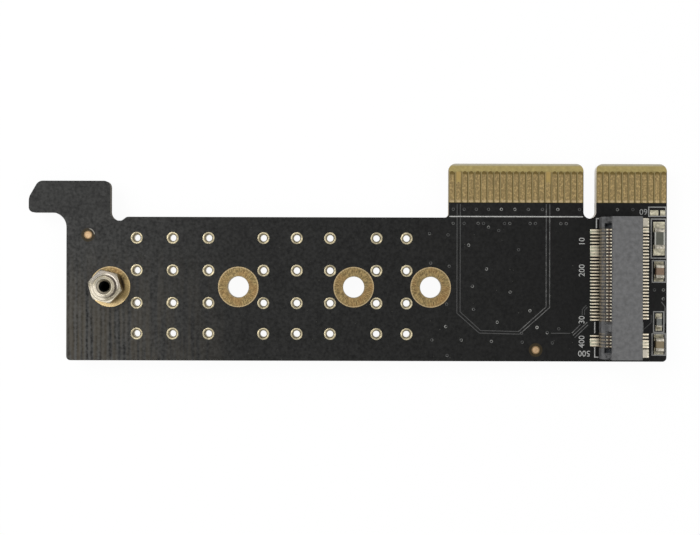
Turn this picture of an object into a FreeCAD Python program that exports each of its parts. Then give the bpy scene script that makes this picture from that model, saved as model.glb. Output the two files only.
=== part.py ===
import FreeCAD, Part
import math
import os
from FreeCAD import Vector

# Adapter card: carries one slim module with a keyed edge and plugs into a four-lane slot.
# Datum: x from the middle of the edge key, y from the centre line of the module socket,
# z from the underside of the board. Every solid is moved to the part's own frame at the end.

# How far a cutting solid reaches past what it cuts
overcut = 1.0

# Flats round pegs and marks, which are too small to need a true circle
small_round_sides = 16

# Board
board_thickness = 1.6
body_top = 10.9
body_margin = 0.5
corner_radius = 0.65

# Contact tabs and key
contact_pitch = 1.0
contact_width = 0.7
contact_length = 4.85
contact_end_chamfer = 0.2
short_contact_setback = 1.7
tab_side_margin = 0.15
tab_height = 8.45
tab_corner_radius = 1.1
key_width = 2.0
key_mouth_radius = 1.1
key_floor_below_body_top = 0.1
bevel_length = 1.2
bevel_angle = 20.0
contacts_on_long_tab = 21
contacts_on_short_tab = 11
late_front_contacts = (5, 19)
late_back_contact = 10

# Hook for the slot's latch
hook_width = 12.7
hook_height = 4.95
hook_reach = 5.9
hook_rise = 0.65
hook_slope_run = 1.5
hook_slope_drop = 2.6
hook_top_radius = 1.0
hook_slope_top_radius = 1.2
hook_slope_foot_radius = 2.0
hook_tip_radius = 0.8
hook_root_radius = 2.3
dip_depth = 0.6
dip_radius = 1.35
dip_floor_width = 1.8
dip_ramp_width = 0.8
dip_ramp_radius = 0.7

# Copper of the board: contacts are let into the coating, pads and marks lie on it
copper_seat = 0.03
copper_rise = 0.02
pad_thickness = 0.05
fixing_hole_diameter = 3.5
fixing_pad_diameter = 6.28
fixing_pad_margin = 3.66
fixing_pad_sides = 24
plated_hole_diameter = 1.15
plated_ring_diameter = 1.8
plated_hole_sides = 8
plated_hole_rows = (7.62, 2.56, -2.52, -7.31)
plated_hole_counts = (3, 3, 2)
plated_hole_pitches = (5.6, 5.2, 4.7)
plated_hole_shifts = (-0.23, 0.12, -0.1)
fiducial_diameter = 1.25
fiducial_sides = 12
left_fiducial_from_edge = 3.37
left_fiducial_y = 8.06
right_fiducial_from_socket = 9.87
right_fiducial_y = -9.72

# Modules the card takes: distance from the seat in the socket to each fixing hole
module_lengths = (80, 60, 42, 30)

# Module socket
last_pin = 75
pin_step = 0.25
socket_beyond_pins = 1.75
slot_beyond_pins = 0.75
socket_depth = 5.9
socket_height = 4.2
socket_rear_to_card_edge = 4.63
socket_edge_chamfer = 0.12
seat_to_socket_rear = 2.17
roof_setback = 1.23
module_seat_height = 2.45
module_thickness = 0.8
slot_clearance = 0.1
lip_lead_in = 0.45
roof_lead_in = 0.3
key_rib_width = 1.1
key_rib_run_out = 0.7
key_first_pin = 59
key_last_pin = 66
channel_width = 0.3
channel_wall = 0.25
lip_wall = 0.5
tail_tunnel_height = 0.6
riser_setback = 0.95
riser_room = 0.5
arm_room = 0.5
contact_bite = 0.32
lower_crest_behind_roof = 0.35
lower_tip_ahead_of_roof = 0.6
upper_crest_behind_roof = 1.35
end_pocket_length = 1.14
end_pocket_depth = 1.15
end_post_size = 0.5
end_post_height = 0.7
ejector_mark_diameter = 0.76
ejector_mark_depth = 0.05
ejector_mark_behind_roof_front = 2.18
ejector_mark_y = -1.27
peg_length = 1.3
peg_clearance = 0.05
large_peg_diameter = 1.6
small_peg_diameter = 1.1
peg_from_socket_front = 2.7
peg_from_socket_end = 1.0

# Socket contacts, bent from strip, and the pads they are soldered to
strip_thickness = 0.15
strip_width = 0.2
base_rise = 0.3
heel_bend = 0.3
heel_rise = 0.9
lower_crest_length = 0.3
upper_arm_slope_run = 0.75
upper_tip_run = 0.45
pad_width = 0.3
front_pad_length = 1.45
rear_pad_length = 1.85
tail_short_of_pad = 0.23
front_runs_of_joined_pads = ((2, 4), (12, 18), (70, 74))
rear_runs_of_joined_pads = ((1, 3), (71, 75))
hold_down_thickness = 0.2
hold_down_width = 1.2
hold_down_leg = 1.6
hold_down_clearance = 0.05
hold_down_inset = 0.78
hold_down_setback = 0.35

# Standoff at the longest module's fixing hole, and its nut on the back
standoff_across_flats = 4.7
standoff_turn = 46.0
standoff_edge_chamfer = 0.25
standoff_step_diameter = 3.5
standoff_step_height = 0.7
step_chamfer = 0.1
standoff_shift_x = -0.38
standoff_shift_y = 0.04
stud_diameter = 2.48
stud_below_nut = 0.4
stud_end_chamfer = 0.3
screw_hole_diameter = 1.6
screw_hole_depth = 4.0
screw_hole_mouth_diameter = 2.4
drill_point = 0.6
nut_across_flats = 5.0
nut_height = 1.8
nut_edge_chamfer = 0.2
nut_turn = 24.0
nut_thread_clearance = 0.01

# Chips in a column beside the right edge, long side up the card
chip_column_from_edge = 1.23
terminal_wall = 0.03
link_length = 3.2
link_width = 1.6
link_height = 0.6
link_terminal = 0.62
link_solder_reach = 1.0
link_y = 7.7
link_outline_margin = 0.44
capacitor_length = 2.0
capacitor_width = 1.25
capacitor_height = 0.95
capacitor_terminal = 0.48
capacitor_solder_reach = 0.5
capacitor_outline_margin = 0.17
upper_capacitor_y = 2.58
lower_capacitor_y = -8.8
resistor_length = 1.6
resistor_width = 0.8
resistor_height = 0.45
resistor_terminal = 0.3
resistor_solder_reach = 0.5
resistor_outline_margin = 0.3
resistor_y = -5.3
solder_side_margin = 0.1
solder_climb = 0.72
solder_steps = 4
spare_pad_y_above_body_top = 0.8
spare_left_pad_length = 1.3
spare_right_pad_length = 0.78
spare_pad_width = 0.82
spare_pad_gap = 0.3
spare_pad_solder = 0.2
spare_pad_slope = 0.24
spare_pad_from_box = 0.17
spare_box_left_from_edge = 2.83
spare_box_above_body_top = 0.28
spare_box_height = 1.42

# Printed lines
print_thickness = 0.02
print_width = 0.17
outline_side_margin = 0.3
corner_mark_ahead = 0.45
low_mark_ahead = 0.67
corner_mark_inset = 0.2
corner_mark_gap = 0.36

# Places that follow from the sizes above
board_top = board_thickness
pin_span = (last_pin - 1) * pin_step
socket_width = pin_span + 2 * socket_beyond_pins
slot_width = pin_span + 2 * slot_beyond_pins
first_contact = key_width / 2 + tab_side_margin + contact_width / 2
tab_beyond_last = contact_width / 2 + tab_side_margin
long_tab_left = -(first_contact + (contacts_on_long_tab - 1) * contact_pitch + tab_beyond_last)
card_right = first_contact + (contacts_on_short_tab - 1) * contact_pitch + tab_beyond_last
tab_top = body_top + tab_height
body_bottom = -(socket_width / 2 + body_margin)
contact_top = tab_top - bevel_length
contact_bottom = contact_top - contact_length
bevel_drop = bevel_length * math.tan(math.radians(bevel_angle))

socket_rear = card_right - socket_rear_to_card_edge
socket_front = socket_rear - socket_depth
roof_front = socket_front + roof_setback
seat_x = socket_rear - seat_to_socket_rear
slot_floor = module_seat_height - slot_clearance
slot_ceiling = module_seat_height + module_thickness + slot_clearance

hole_x = {length: seat_x - length for length in module_lengths}
body_left = hole_x[max(module_lengths)] - fixing_pad_diameter / 2 - fixing_pad_margin
hook_left = body_left - hook_reach
hook_right = hook_left + hook_width
hook_under = body_top + hook_rise
hook_top = hook_under + hook_height

standoff_x = hole_x[max(module_lengths)] + standoff_shift_x
standoff_y = standoff_shift_y
chip_x = card_right - chip_column_from_edge
nut_bottom = -nut_height
stud_bottom = nut_bottom - stud_below_nut

# Move from the datum to the part's frame: middle of the outline, lowest point at z = 0
to_frame = Vector(-(hook_left + card_right) / 2, -(tab_top + body_bottom) / 2, -stud_bottom)


def block(x0, x1, y0, y1, z0, z1):
    """Box between two corners."""
    return Part.makeBox(x1 - x0, y1 - y0, z1 - z0, Vector(x0, y0, z0))


def disc(x, y, z0, z1, diameter):
    """Upright cylinder."""
    return Part.makeCylinder(diameter / 2, z1 - z0, Vector(x, y, z0))


def rounded_prism(x, y, z0, z1, diameter, sides):
    """Upright prism whose flats touch a circle."""
    radius = diameter / 2 / math.cos(math.pi / sides)
    corners = []
    for i in range(sides):
        angle = 2 * math.pi * i / sides
        corners.append(Vector(x + radius * math.cos(angle), y + radius * math.sin(angle), z0))
    return Part.Face(Part.makePolygon(corners + corners[:1])).extrude(Vector(0, 0, z1 - z0))


def ring(x, y, z0, z1, outer, inner, sides):
    """Upright tube with flat sides."""
    bore = rounded_prism(x, y, z0 - overcut, z1 + overcut, inner, sides)
    return rounded_prism(x, y, z0, z1, outer, sides).cut(bore)


def turned(profile, x, y):
    """Solid of revolution about an upright axis, from (radius, z) points."""
    points = [Vector(radius, 0, z) for radius, z in profile]
    face = Part.Face(Part.makePolygon(points + points[:1]))
    solid = face.revolve(Vector(0, 0, 0), Vector(0, 0, 1), 360)
    solid.translate(Vector(x, y, 0))
    return solid


def rounded_wire(corners, z):
    """Closed outline through (x, y, radius) corners, each rounded by an arc that meets its sides."""
    count = len(corners)
    arcs = []
    for i, (x, y, radius) in enumerate(corners):
        corner = Vector(x, y, z)
        back = Vector(corners[i - 1][0], corners[i - 1][1], z).sub(corner).normalize()
        ahead = Vector(corners[(i + 1) % count][0], corners[(i + 1) % count][1], z)
        ahead = ahead.sub(corner).normalize()
        half = back.getAngle(ahead) / 2
        inward = back.add(ahead).normalize()
        reach = radius / math.tan(half)
        middle = corner + inward * (radius / math.sin(half) - radius)
        arcs.append((corner + back * reach, middle, corner + ahead * reach))
    edges = []
    for i, (start, middle, end) in enumerate(arcs):
        edges.append(Part.Arc(start, middle, end).toShape())
        following = arcs[(i + 1) % count][0]
        if end.distanceToPoint(following) > 1e-6:
            edges.append(Part.LineSegment(end, following).toShape())
    return Part.Wire(edges)


def prism_across(profile, y0, y1):
    """Solid of one (x, z) profile carried along y."""
    points = [Vector(x, y0, z) for x, z in profile]
    return Part.Face(Part.makePolygon(points + points[:1])).extrude(Vector(0, y1 - y0, 0))


def prism_along(profile, x0, x1):
    """Solid of one (y, z) profile carried along x."""
    points = [Vector(x0, y, z) for y, z in profile]
    return Part.Face(Part.makePolygon(points + points[:1])).extrude(Vector(x1 - x0, 0, 0))


def strip_profile(path, thickness):
    """Outline of a bent strip whose middle follows the (x, z) points of path."""
    near, far = [], []
    for i, (x, z) in enumerate(path):
        normals = []
        for a, b in zip(path[max(i - 1, 0):i + 1], path[max(i, 1):i + 2]):
            length = math.hypot(b[0] - a[0], b[1] - a[1])
            normals.append(((a[1] - b[1]) / length, (b[0] - a[0]) / length))
        first, last = normals[0], normals[-1]
        stretch = thickness / 2 / (1 + first[0] * last[0] + first[1] * last[1])
        offset_x = (first[0] + last[0]) * stretch
        offset_z = (first[1] + last[1]) * stretch
        near.append((x + offset_x, z + offset_z))
        far.append((x - offset_x, z - offset_z))
    return near + far[::-1]


def hexagon(across_flats, turn, x, y, z0, z1, chamfer):
    """Hexagonal prism with its corners turned down at both ends."""
    radius = across_flats / math.sqrt(3)
    corners = []
    for i in range(6):
        angle = math.radians(turn + 60 * i)
        corners.append(Vector(x + radius * math.cos(angle), y + radius * math.sin(angle), z0))
    solid = Part.Face(Part.makePolygon(corners + corners[:1])).extrude(Vector(0, 0, z1 - z0))
    rim = radius - chamfer
    barrel = [(0, z0), (rim, z0), (radius, z0 + chamfer), (radius, z1 - chamfer), (rim, z1), (0, z1)]
    return solid.common(turned(barrel, x, y))


def pin_y(number):
    """Place of a numbered socket pin across the card."""
    return pin_step * ((last_pin + 1) / 2 - number)


def socket_pins(first):
    """Numbers of the pins of one row, without those that the key takes."""
    return [n for n in range(first, last_pin + 1, 2) if not key_first_pin <= n <= key_last_pin]


def contact_places(count, side):
    """Middles of the contacts of one tab, counted away from the key."""
    return [side * (first_contact + i * contact_pitch) for i in range(count)]


def save(name, solids):
    """Writes one node, moved to the part's frame."""
    shape = solids if isinstance(solids, Part.Shape) else Part.makeCompound(solids)
    shape.translate(to_frame)
    shape.exportStep("parts/" + name + ".step")


def plated_hole_places():
    """Middles of the small plated holes, in bays between the fixing holes."""
    places = []
    bays = zip(module_lengths, module_lengths[1:], plated_hole_counts, plated_hole_pitches,
               plated_hole_shifts)
    for far, near, count, pitch, shift in bays:
        middle = (hole_x[far] + hole_x[near]) / 2 + shift
        for i in range(count):
            x = middle + (i - (count - 1) / 2) * pitch
            places += [(x, y) for y in plated_hole_rows]
    return places


def fiducial_places():
    """Middles of the two round alignment marks."""
    return (
        (body_left + left_fiducial_from_edge, left_fiducial_y),
        (socket_front - right_fiducial_from_socket, right_fiducial_y),
    )


def peg_places():
    """Middle and diameter of the socket's two locating pegs."""
    x = socket_front + peg_from_socket_front
    y = socket_width / 2 - peg_from_socket_end
    return ((x, y, large_peg_diameter), (x, -y, small_peg_diameter))


def board_outline():
    """Corners of the card, anticlockwise from the lower left."""
    key_side = key_width / 2
    key_floor = body_top - key_floor_below_body_top
    dip_floor = body_top - dip_depth
    dip_end = hook_right + dip_floor_width
    return [
        (body_left, body_bottom, corner_radius),
        (card_right, body_bottom, corner_radius),
        (card_right, tab_top, tab_corner_radius),
        (key_side, tab_top, key_mouth_radius),
        (key_side, key_floor, key_side),
        (-key_side, key_floor, key_side),
        (-key_side, tab_top, key_mouth_radius),
        (long_tab_left, tab_top, tab_corner_radius),
        (long_tab_left, body_top, corner_radius),
        (dip_end + dip_ramp_width, body_top, dip_ramp_radius),
        (dip_end, dip_floor, dip_ramp_radius),
        (hook_right, dip_floor, dip_radius),
        (hook_right, hook_top, hook_top_radius),
        (hook_left + hook_slope_run, hook_top, hook_slope_top_radius),
        (hook_left, hook_top - hook_slope_drop, hook_slope_foot_radius),
        (hook_left, hook_under, hook_tip_radius),
        (body_left, hook_under, hook_root_radius),
    ]


def make_board():
    """The board with its bevelled contact edge, contact beds and every hole."""
    board = Part.Face(rounded_wire(board_outline(), 0)).extrude(Vector(0, 0, board_thickness))
    cuts = []
    left, right = long_tab_left - overcut, card_right + overcut
    for face, inward in ((0, 1), (board_top, -1)):
        outside = face - inward * overcut
        bevel = [
            (contact_top, face),
            (contact_top, outside),
            (tab_top + overcut, outside),
            (tab_top + overcut, face + inward * bevel_drop * (1 + overcut / bevel_length)),
        ]
        cuts.append(prism_along(bevel, left, right))
        bed = face + inward * copper_seat
        cuts.append(block(left, right, contact_bottom, contact_top, min(bed, outside), max(bed, outside)))
    for x in hole_x.values():
        cuts.append(disc(x, 0, -overcut, board_top + overcut, fixing_hole_diameter))
    for x, y in plated_hole_places():
        cuts.append(rounded_prism(x, y, -overcut, board_top + overcut, plated_ring_diameter,
                                  plated_hole_sides))
    for x, y, diameter in peg_places():
        cuts.append(rounded_prism(x, y, -overcut, board_top + overcut, diameter + 2 * peg_clearance,
                                  small_round_sides))
    return board.cut(cuts).removeSplitter()


def edge_contact(x, top, z0, z1):
    """One contact finger with its inner end drawn in."""
    half = contact_width / 2
    tip = half - contact_end_chamfer
    shoulder = contact_bottom + contact_end_chamfer
    corners = [
        Vector(x - half, shoulder, z0),
        Vector(x - tip, contact_bottom, z0),
        Vector(x + tip, contact_bottom, z0),
        Vector(x + half, shoulder, z0),
        Vector(x + half, top, z0),
        Vector(x - half, top, z0),
    ]
    return Part.Face(Part.makePolygon(corners + corners[:1])).extrude(Vector(0, 0, z1 - z0))


def edge_contacts(late_left, late_right, z0, z1):
    """All contacts of one face; the late ones stop short of the edge."""
    solids = []
    for late, places in (
        (late_left, contact_places(contacts_on_long_tab, -1)),
        (late_right, contact_places(contacts_on_short_tab, 1)),
    ):
        for i, x in enumerate(places):
            top = contact_top - (short_contact_setback if i in late else 0)
            solids.append(edge_contact(x, top, z0, z1))
    return solids


def lower_channel(y):
    """Room in the socket floor for one lower contact: open under the lip, then up to the slot."""
    front = socket_front - overcut
    wall = socket_front + lip_wall
    back = seat_x - channel_wall
    profile = [
        (front, -overcut),
        (back, -overcut),
        (back, slot_floor + slot_clearance),
        (wall, slot_floor + slot_clearance),
        (wall, tail_tunnel_height),
        (front, tail_tunnel_height),
    ]
    return prism_across(profile, y - channel_width / 2, y + channel_width / 2)


def upper_channel(y):
    """Room for one upper contact: up the back of the socket and forward under its roof."""
    inner = seat_x + channel_wall + riser_setback
    outer = inner + riser_room
    rear = socket_rear + overcut
    front = roof_front + channel_wall
    ceiling = slot_ceiling + arm_room
    profile = [
        (front, slot_ceiling - slot_clearance),
        (seat_x - slot_clearance, slot_ceiling - slot_clearance),
        (seat_x - slot_clearance, slot_ceiling),
        (inner, slot_ceiling),
        (inner, -overcut),
        (rear, -overcut),
        (rear, tail_tunnel_height),
        (outer, tail_tunnel_height),
        (outer, ceiling),
        (front, ceiling),
    ]
    return prism_across(profile, y - channel_width / 2, y + channel_width / 2)


def hold_down_room(y):
    """Slot for the leg of a hold-down and the way out for its foot."""
    half = hold_down_width / 2 + hold_down_clearance
    leg = socket_rear - hold_down_setback
    room = hold_down_thickness / 2 + hold_down_clearance
    top = pad_thickness + hold_down_leg + hold_down_clearance
    foot = pad_thickness + hold_down_thickness + hold_down_clearance
    return [
        block(leg - room, leg + room, y - half, y + half, -overcut, top),
        block(leg - room, socket_rear + overcut, y - half, y + half, -overcut, foot),
    ]


def hold_down_places():
    """Middles of the two hold-downs across the card."""
    y = socket_width / 2 - hold_down_inset
    return (y, -y)


def make_socket_housing():
    """Moulded housing: open mouth, key rib, a channel for every contact, end pockets and pegs."""
    half = socket_width / 2
    housing = block(socket_front, socket_rear, -half, half, 0, socket_height)
    mouth = [
        (socket_front - overcut, slot_floor - lip_lead_in - overcut),
        (socket_front, slot_floor - lip_lead_in),
        (socket_front + lip_lead_in, slot_floor),
        (roof_front, slot_floor),
        (roof_front, socket_height - socket_edge_chamfer),
        (roof_front + socket_edge_chamfer, socket_height),
        (roof_front + socket_edge_chamfer, socket_height + overcut),
        (socket_front - overcut, socket_height + overcut),
    ]
    rear_edge = [
        (socket_rear - socket_edge_chamfer, socket_height),
        (socket_rear, socket_height - socket_edge_chamfer),
        (socket_rear + overcut, socket_height - socket_edge_chamfer),
        (socket_rear + overcut, socket_height + overcut),
        (socket_rear - socket_edge_chamfer, socket_height + overcut),
    ]
    slot = [
        (roof_front - overcut, slot_floor),
        (seat_x, slot_floor),
        (seat_x, slot_ceiling),
        (roof_front + roof_lead_in, slot_ceiling),
        (roof_front, slot_ceiling + roof_lead_in),
        (roof_front - overcut, slot_ceiling + roof_lead_in),
    ]
    key_y = (pin_y(key_first_pin) + pin_y(key_last_pin)) / 2
    rib_low, rib_high = key_y - key_rib_width / 2, key_y + key_rib_width / 2
    end = slot_width / 2
    housing = housing.cut([
        prism_across(mouth, -half - overcut, half + overcut),
        prism_across(rear_edge, -half - overcut, half + overcut),
        prism_across(slot, -end, rib_low),
        prism_across(slot, rib_high, end),
    ])

    rib = [
        (roof_front - key_rib_run_out, slot_floor),
        (roof_front + roof_lead_in, slot_floor),
        (roof_front + roof_lead_in, slot_ceiling),
        (roof_front, slot_ceiling),
    ]
    post_y = (half + end) / 2
    side = end_post_size / 2
    parts = [prism_across(rib, rib_low, rib_high)]
    for y in (post_y, -post_y):
        parts.append(block(roof_front - end_post_size, roof_front, y - side, y + side,
                           slot_floor, slot_floor + end_post_height))
    for x, y, diameter in peg_places():
        parts.append(rounded_prism(x, y, -peg_length, 0, diameter, small_round_sides))
    housing = housing.fuse(parts)

    cuts = [lower_channel(pin_y(n)) for n in socket_pins(2)]
    cuts += [upper_channel(pin_y(n)) for n in socket_pins(1)]
    pocket_end = pin_y(1)
    pocket_floor = slot_floor - end_pocket_depth
    for side in (-1, 1):
        low, high = sorted((side * pocket_end, side * end))
        cuts.append(block(roof_front + roof_lead_in - end_pocket_length, roof_front + roof_lead_in,
                          low, high, pocket_floor, slot_ceiling))
    for y in hold_down_places():
        cuts += hold_down_room(y)
    cuts.append(rounded_prism(roof_front + ejector_mark_behind_roof_front, ejector_mark_y,
                              socket_height - ejector_mark_depth, socket_height + overcut,
                              ejector_mark_diameter, small_round_sides))
    housing = housing.cut(cuts).removeSplitter()
    housing.translate(Vector(0, 0, board_top))
    return housing


def lower_contact(y):
    """Soldered tail at the front, base under the slot, and an arm that rises to touch from below."""
    tail_z = pad_thickness + strip_thickness / 2
    base_z = tail_z + base_rise
    back = seat_x - channel_wall - strip_thickness
    crest_x = roof_front + lower_crest_behind_roof
    crest_z = slot_floor + contact_bite - strip_thickness / 2
    path = [
        (socket_front - front_pad_length + tail_short_of_pad, tail_z),
        (socket_front + lip_wall, tail_z),
        (back - heel_bend, base_z),
        (back, base_z + heel_rise),
        (crest_x + lower_crest_length / 2, crest_z),
        (crest_x - lower_crest_length / 2, crest_z),
        (roof_front - lower_tip_ahead_of_roof, slot_floor - strip_thickness),
    ]
    profile = strip_profile(path, strip_thickness)
    return prism_across(profile, y - strip_width / 2, y + strip_width / 2)


def upper_contact(y):
    """Soldered tail at the rear, a riser in the back wall, and an arm that dips into the slot."""
    tail_z = pad_thickness + strip_thickness / 2
    riser_x = seat_x + channel_wall + riser_setback + riser_room / 2
    arm_z = slot_ceiling + arm_room - strip_thickness
    crest_x = roof_front + upper_crest_behind_roof
    crest_z = slot_ceiling - contact_bite + strip_thickness / 2
    path = [
        (socket_rear + rear_pad_length - tail_short_of_pad, tail_z),
        (riser_x, tail_z),
        (riser_x, arm_z),
        (crest_x + upper_arm_slope_run, arm_z - strip_thickness),
        (crest_x, crest_z),
        (crest_x - upper_tip_run, slot_ceiling + strip_thickness),
    ]
    profile = strip_profile(path, strip_thickness)
    return prism_across(profile, y - strip_width / 2, y + strip_width / 2)


def hold_down(y):
    """Bent tab that locks one end of the socket to the board."""
    leg = socket_rear - hold_down_setback
    foot_z = pad_thickness + hold_down_thickness / 2
    path = [
        (socket_rear + rear_pad_length - tail_short_of_pad, foot_z),
        (leg, foot_z),
        (leg, pad_thickness + hold_down_leg),
    ]
    profile = strip_profile(path, hold_down_thickness)
    return prism_across(profile, y - hold_down_width / 2, y + hold_down_width / 2)


def pad_row(pins, joined, x0, x1):
    """Solder pads of one row of pins; the pads of a joined run are one wide pad."""
    solids = []
    loose = list(pins)
    for first, last in joined:
        loose = [n for n in loose if not first <= n <= last]
        high, low = pin_y(first) + pad_width / 2, pin_y(last) - pad_width / 2
        solids.append(block(x0, x1, low, high, 0, pad_thickness))
    for n in loose:
        y = pin_y(n)
        solids.append(block(x0, x1, y - pad_width / 2, y + pad_width / 2, 0, pad_thickness))
    return solids


def make_rear_pads():
    """Pads of the rear row and of the two hold-downs."""
    end = socket_rear + rear_pad_length
    solids = pad_row(socket_pins(1), rear_runs_of_joined_pads, socket_rear, end)
    half = hold_down_width / 2 + hold_down_clearance
    for y in hold_down_places():
        solids.append(block(socket_rear, end, y - half, y + half, 0, pad_thickness))
    return solids


def make_standoff():
    """Hexagonal standoff: module seat, locating step, blind screw hole and stud through the board."""
    seat = board_top + module_seat_height
    top = seat + standoff_step_height
    foot = board_top + pad_thickness
    radius = stud_diameter / 2
    step = standoff_step_diameter / 2
    body = hexagon(standoff_across_flats, standoff_turn, standoff_x, standoff_y, foot, seat,
                   standoff_edge_chamfer)
    core = turned([
        (0, stud_bottom),
        (radius - stud_end_chamfer, stud_bottom),
        (radius, stud_bottom + stud_end_chamfer),
        (radius, seat - standoff_step_height),
        (step, seat - standoff_step_height),
        (step, top - step_chamfer),
        (step - step_chamfer, top),
        (0, top),
    ], standoff_x, standoff_y)
    hole = screw_hole_diameter / 2
    mouth = screw_hole_mouth_diameter / 2
    drilled = turned([
        (0, top - screw_hole_depth - hole * drill_point),
        (hole, top - screw_hole_depth),
        (hole, top - (mouth - hole)),
        (mouth, top),
        (mouth, top + overcut),
        (0, top + overcut),
    ], standoff_x, standoff_y)
    return body.fuse(core).cut(drilled).removeSplitter()


def make_nut():
    """Thin hexagonal nut on the stud, against the back pad."""
    nut = hexagon(nut_across_flats, nut_turn, standoff_x, standoff_y, nut_bottom, 0, nut_edge_chamfer)
    bore = disc(standoff_x, standoff_y, nut_bottom - overcut, overcut,
                stud_diameter + 2 * nut_thread_clearance)
    return nut.cut(bore).removeSplitter()


def chip(y, length, width, height, terminal):
    """Body and two end caps of a chip that lies with its length up the card."""
    z0 = board_top + pad_thickness + terminal_wall
    z1 = board_top + pad_thickness + height - terminal_wall
    inner = width / 2 - terminal_wall
    end = length / 2 - terminal_wall
    body = block(chip_x - inner, chip_x + inner, y - end, y + end, z0, z1)
    caps = []
    for side in (-1, 1):
        low, high = sorted((y + side * length / 2, y + side * (length / 2 - terminal)))
        cap = block(chip_x - width / 2, chip_x + width / 2, low, high,
                    z0 - terminal_wall, z1 + terminal_wall)
        caps.append(cap.cut(body))
    return body, caps


def chip_solder(y, length, width, height, terminal, reach):
    """Pads of one chip with the solder that climbs its end caps."""
    half = width / 2 + solder_side_margin
    climb = solder_climb * height - pad_thickness
    profile = [(-terminal, 0), (reach, 0)]
    for i in range(solder_steps + 1):
        turn = math.radians(90 * i / solder_steps)
        profile.append((reach * (1 - math.sin(turn)), pad_thickness + climb * (1 - math.cos(turn))))
    profile += [(0, pad_thickness), (-terminal, pad_thickness)]
    solids = []
    for side in (-1, 1):
        face = y + side * length / 2
        places = [(face + side * along, board_top + z) for along, z in profile]
        solids.append(prism_along(places, chip_x - half, chip_x + half))
    return solids


def make_spare_pads():
    """Two tinned pads with no chip on them."""
    y = body_top + spare_pad_y_above_body_top
    half = spare_pad_width / 2
    start = card_right - spare_box_left_from_edge + spare_pad_from_box
    solids = []
    for x0, length in ((start, spare_left_pad_length),
                       (start + spare_left_pad_length + spare_pad_gap, spare_right_pad_length)):
        dome = [
            (y - half, board_top), (y + half, board_top), (y + half, board_top + pad_thickness),
            (y + half - spare_pad_slope, board_top + spare_pad_solder),
            (y - half + spare_pad_slope, board_top + spare_pad_solder),
            (y - half, board_top + pad_thickness),
        ]
        solids.append(prism_along(dome, x0, x0 + length))
    return solids


def printed_path(*points):
    """Printed line through points, each run along x or along y."""
    half = print_width / 2
    runs = []
    for (x0, y0), (x1, y1) in zip(points, points[1:]):
        runs.append(block(min(x0, x1) - half, max(x0, x1) + half, min(y0, y1) - half,
                          max(y0, y1) + half, board_top, board_top + print_thickness))
    return runs[0].fuse(runs[1:]).removeSplitter() if len(runs) > 1 else runs[0]


def printed_box(x0, y0, x1, y1):
    """Rectangle of four printed lines."""
    face = block(x0 - print_width / 2, x1 + print_width / 2, y0 - print_width / 2,
                 y1 + print_width / 2, board_top, board_top + print_thickness)
    hole = block(x0 + print_width / 2, x1 - print_width / 2, y0 + print_width / 2,
                 y1 - print_width / 2, board_top - overcut, board_top + overcut)
    return face.cut(hole)


def chip_outline(y, length, width, reach, end_margin):
    """Printed box round one chip and its solder."""
    half = width / 2 + solder_side_margin + outline_side_margin
    end = length / 2 + reach + end_margin
    right = min(chip_x + half, card_right - print_width)
    return printed_box(chip_x - half, y - end, right, y + end)


def make_printed_lines():
    """Printed line along the long tab, corner marks of the socket and outlines of the chips."""
    base_y = body_top + print_width
    tab_line = (long_tab_left + print_width, -key_width / 2 - print_width)
    mark_x = socket_front - corner_mark_ahead
    low_x = socket_front - low_mark_ahead
    rear_x = socket_rear + rear_pad_length / 2
    end = socket_width / 2 - corner_mark_inset
    key_high, key_low = pin_y(key_first_pin), pin_y(key_last_pin)
    first_high, last_low = pin_y(2) + corner_mark_gap, pin_y(last_pin - 1) - corner_mark_gap
    spare_left = card_right - spare_box_left_from_edge
    spare_low = body_top + spare_box_above_body_top
    return [
        printed_path((tab_line[0], base_y), (tab_line[1], base_y)),
        printed_path((mark_x, first_high), (mark_x, end), (socket_front - print_width, end)),
        printed_path((low_x, key_high - print_width), (low_x, key_low)),
        printed_path((low_x, last_low), (low_x, -end), (socket_front - print_width, -end)),
        printed_path((rear_x, key_high - print_width), (rear_x, key_low + print_width)),
        printed_box(spare_left, spare_low, card_right - print_width, spare_low + spare_box_height),
        chip_outline(link_y, link_length, link_width, link_solder_reach, link_outline_margin),
        chip_outline(upper_capacitor_y, capacitor_length, capacitor_width, capacitor_solder_reach,
                     capacitor_outline_margin),
        chip_outline(resistor_y, resistor_length, resistor_width, resistor_solder_reach,
                     resistor_outline_margin),
        chip_outline(lower_capacitor_y, capacitor_length, capacitor_width, capacitor_solder_reach,
                     capacitor_outline_margin),
    ]


def on_board(solids):
    """Lifts solids that were made with the board's top at z = 0."""
    for solid in solids:
        solid.translate(Vector(0, 0, board_top))
    return solids


os.makedirs("parts", exist_ok=True)
save("circuit_board", make_board())
save("edge_contacts_front", edge_contacts(late_front_contacts, (), board_top - copper_seat,
                                          board_top + copper_rise))
save("edge_contacts_back", edge_contacts((), (late_back_contact,), 0, copper_seat))
for length, x in hole_x.items():
    save("fixing_pad_" + str(length), ring(x, 0, board_top, board_top + pad_thickness,
                                           fixing_pad_diameter, fixing_hole_diameter,
                                           fixing_pad_sides))
save("plated_holes", [ring(x, y, 0, board_top + copper_rise, plated_ring_diameter,
                           plated_hole_diameter, plated_hole_sides)
                      for x, y in plated_hole_places()])
save("alignment_marks", [rounded_prism(x, y, board_top, board_top + copper_rise, fiducial_diameter,
                                       fiducial_sides) for x, y in fiducial_places()])
save("socket_housing", make_socket_housing())
save("socket_lower_contacts", on_board([lower_contact(pin_y(n)) for n in socket_pins(2)]))
save("socket_upper_contacts", on_board([upper_contact(pin_y(n)) for n in socket_pins(1)]))
for place, y in zip(("upper", "lower"), hold_down_places()):
    save("socket_hold_down_" + place, on_board([hold_down(y)]))
save("socket_front_pads", on_board(pad_row(socket_pins(2), front_runs_of_joined_pads,
                                           socket_front - front_pad_length, socket_front)))
save("socket_rear_pads", on_board(make_rear_pads()))
save("standoff", make_standoff())
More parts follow.
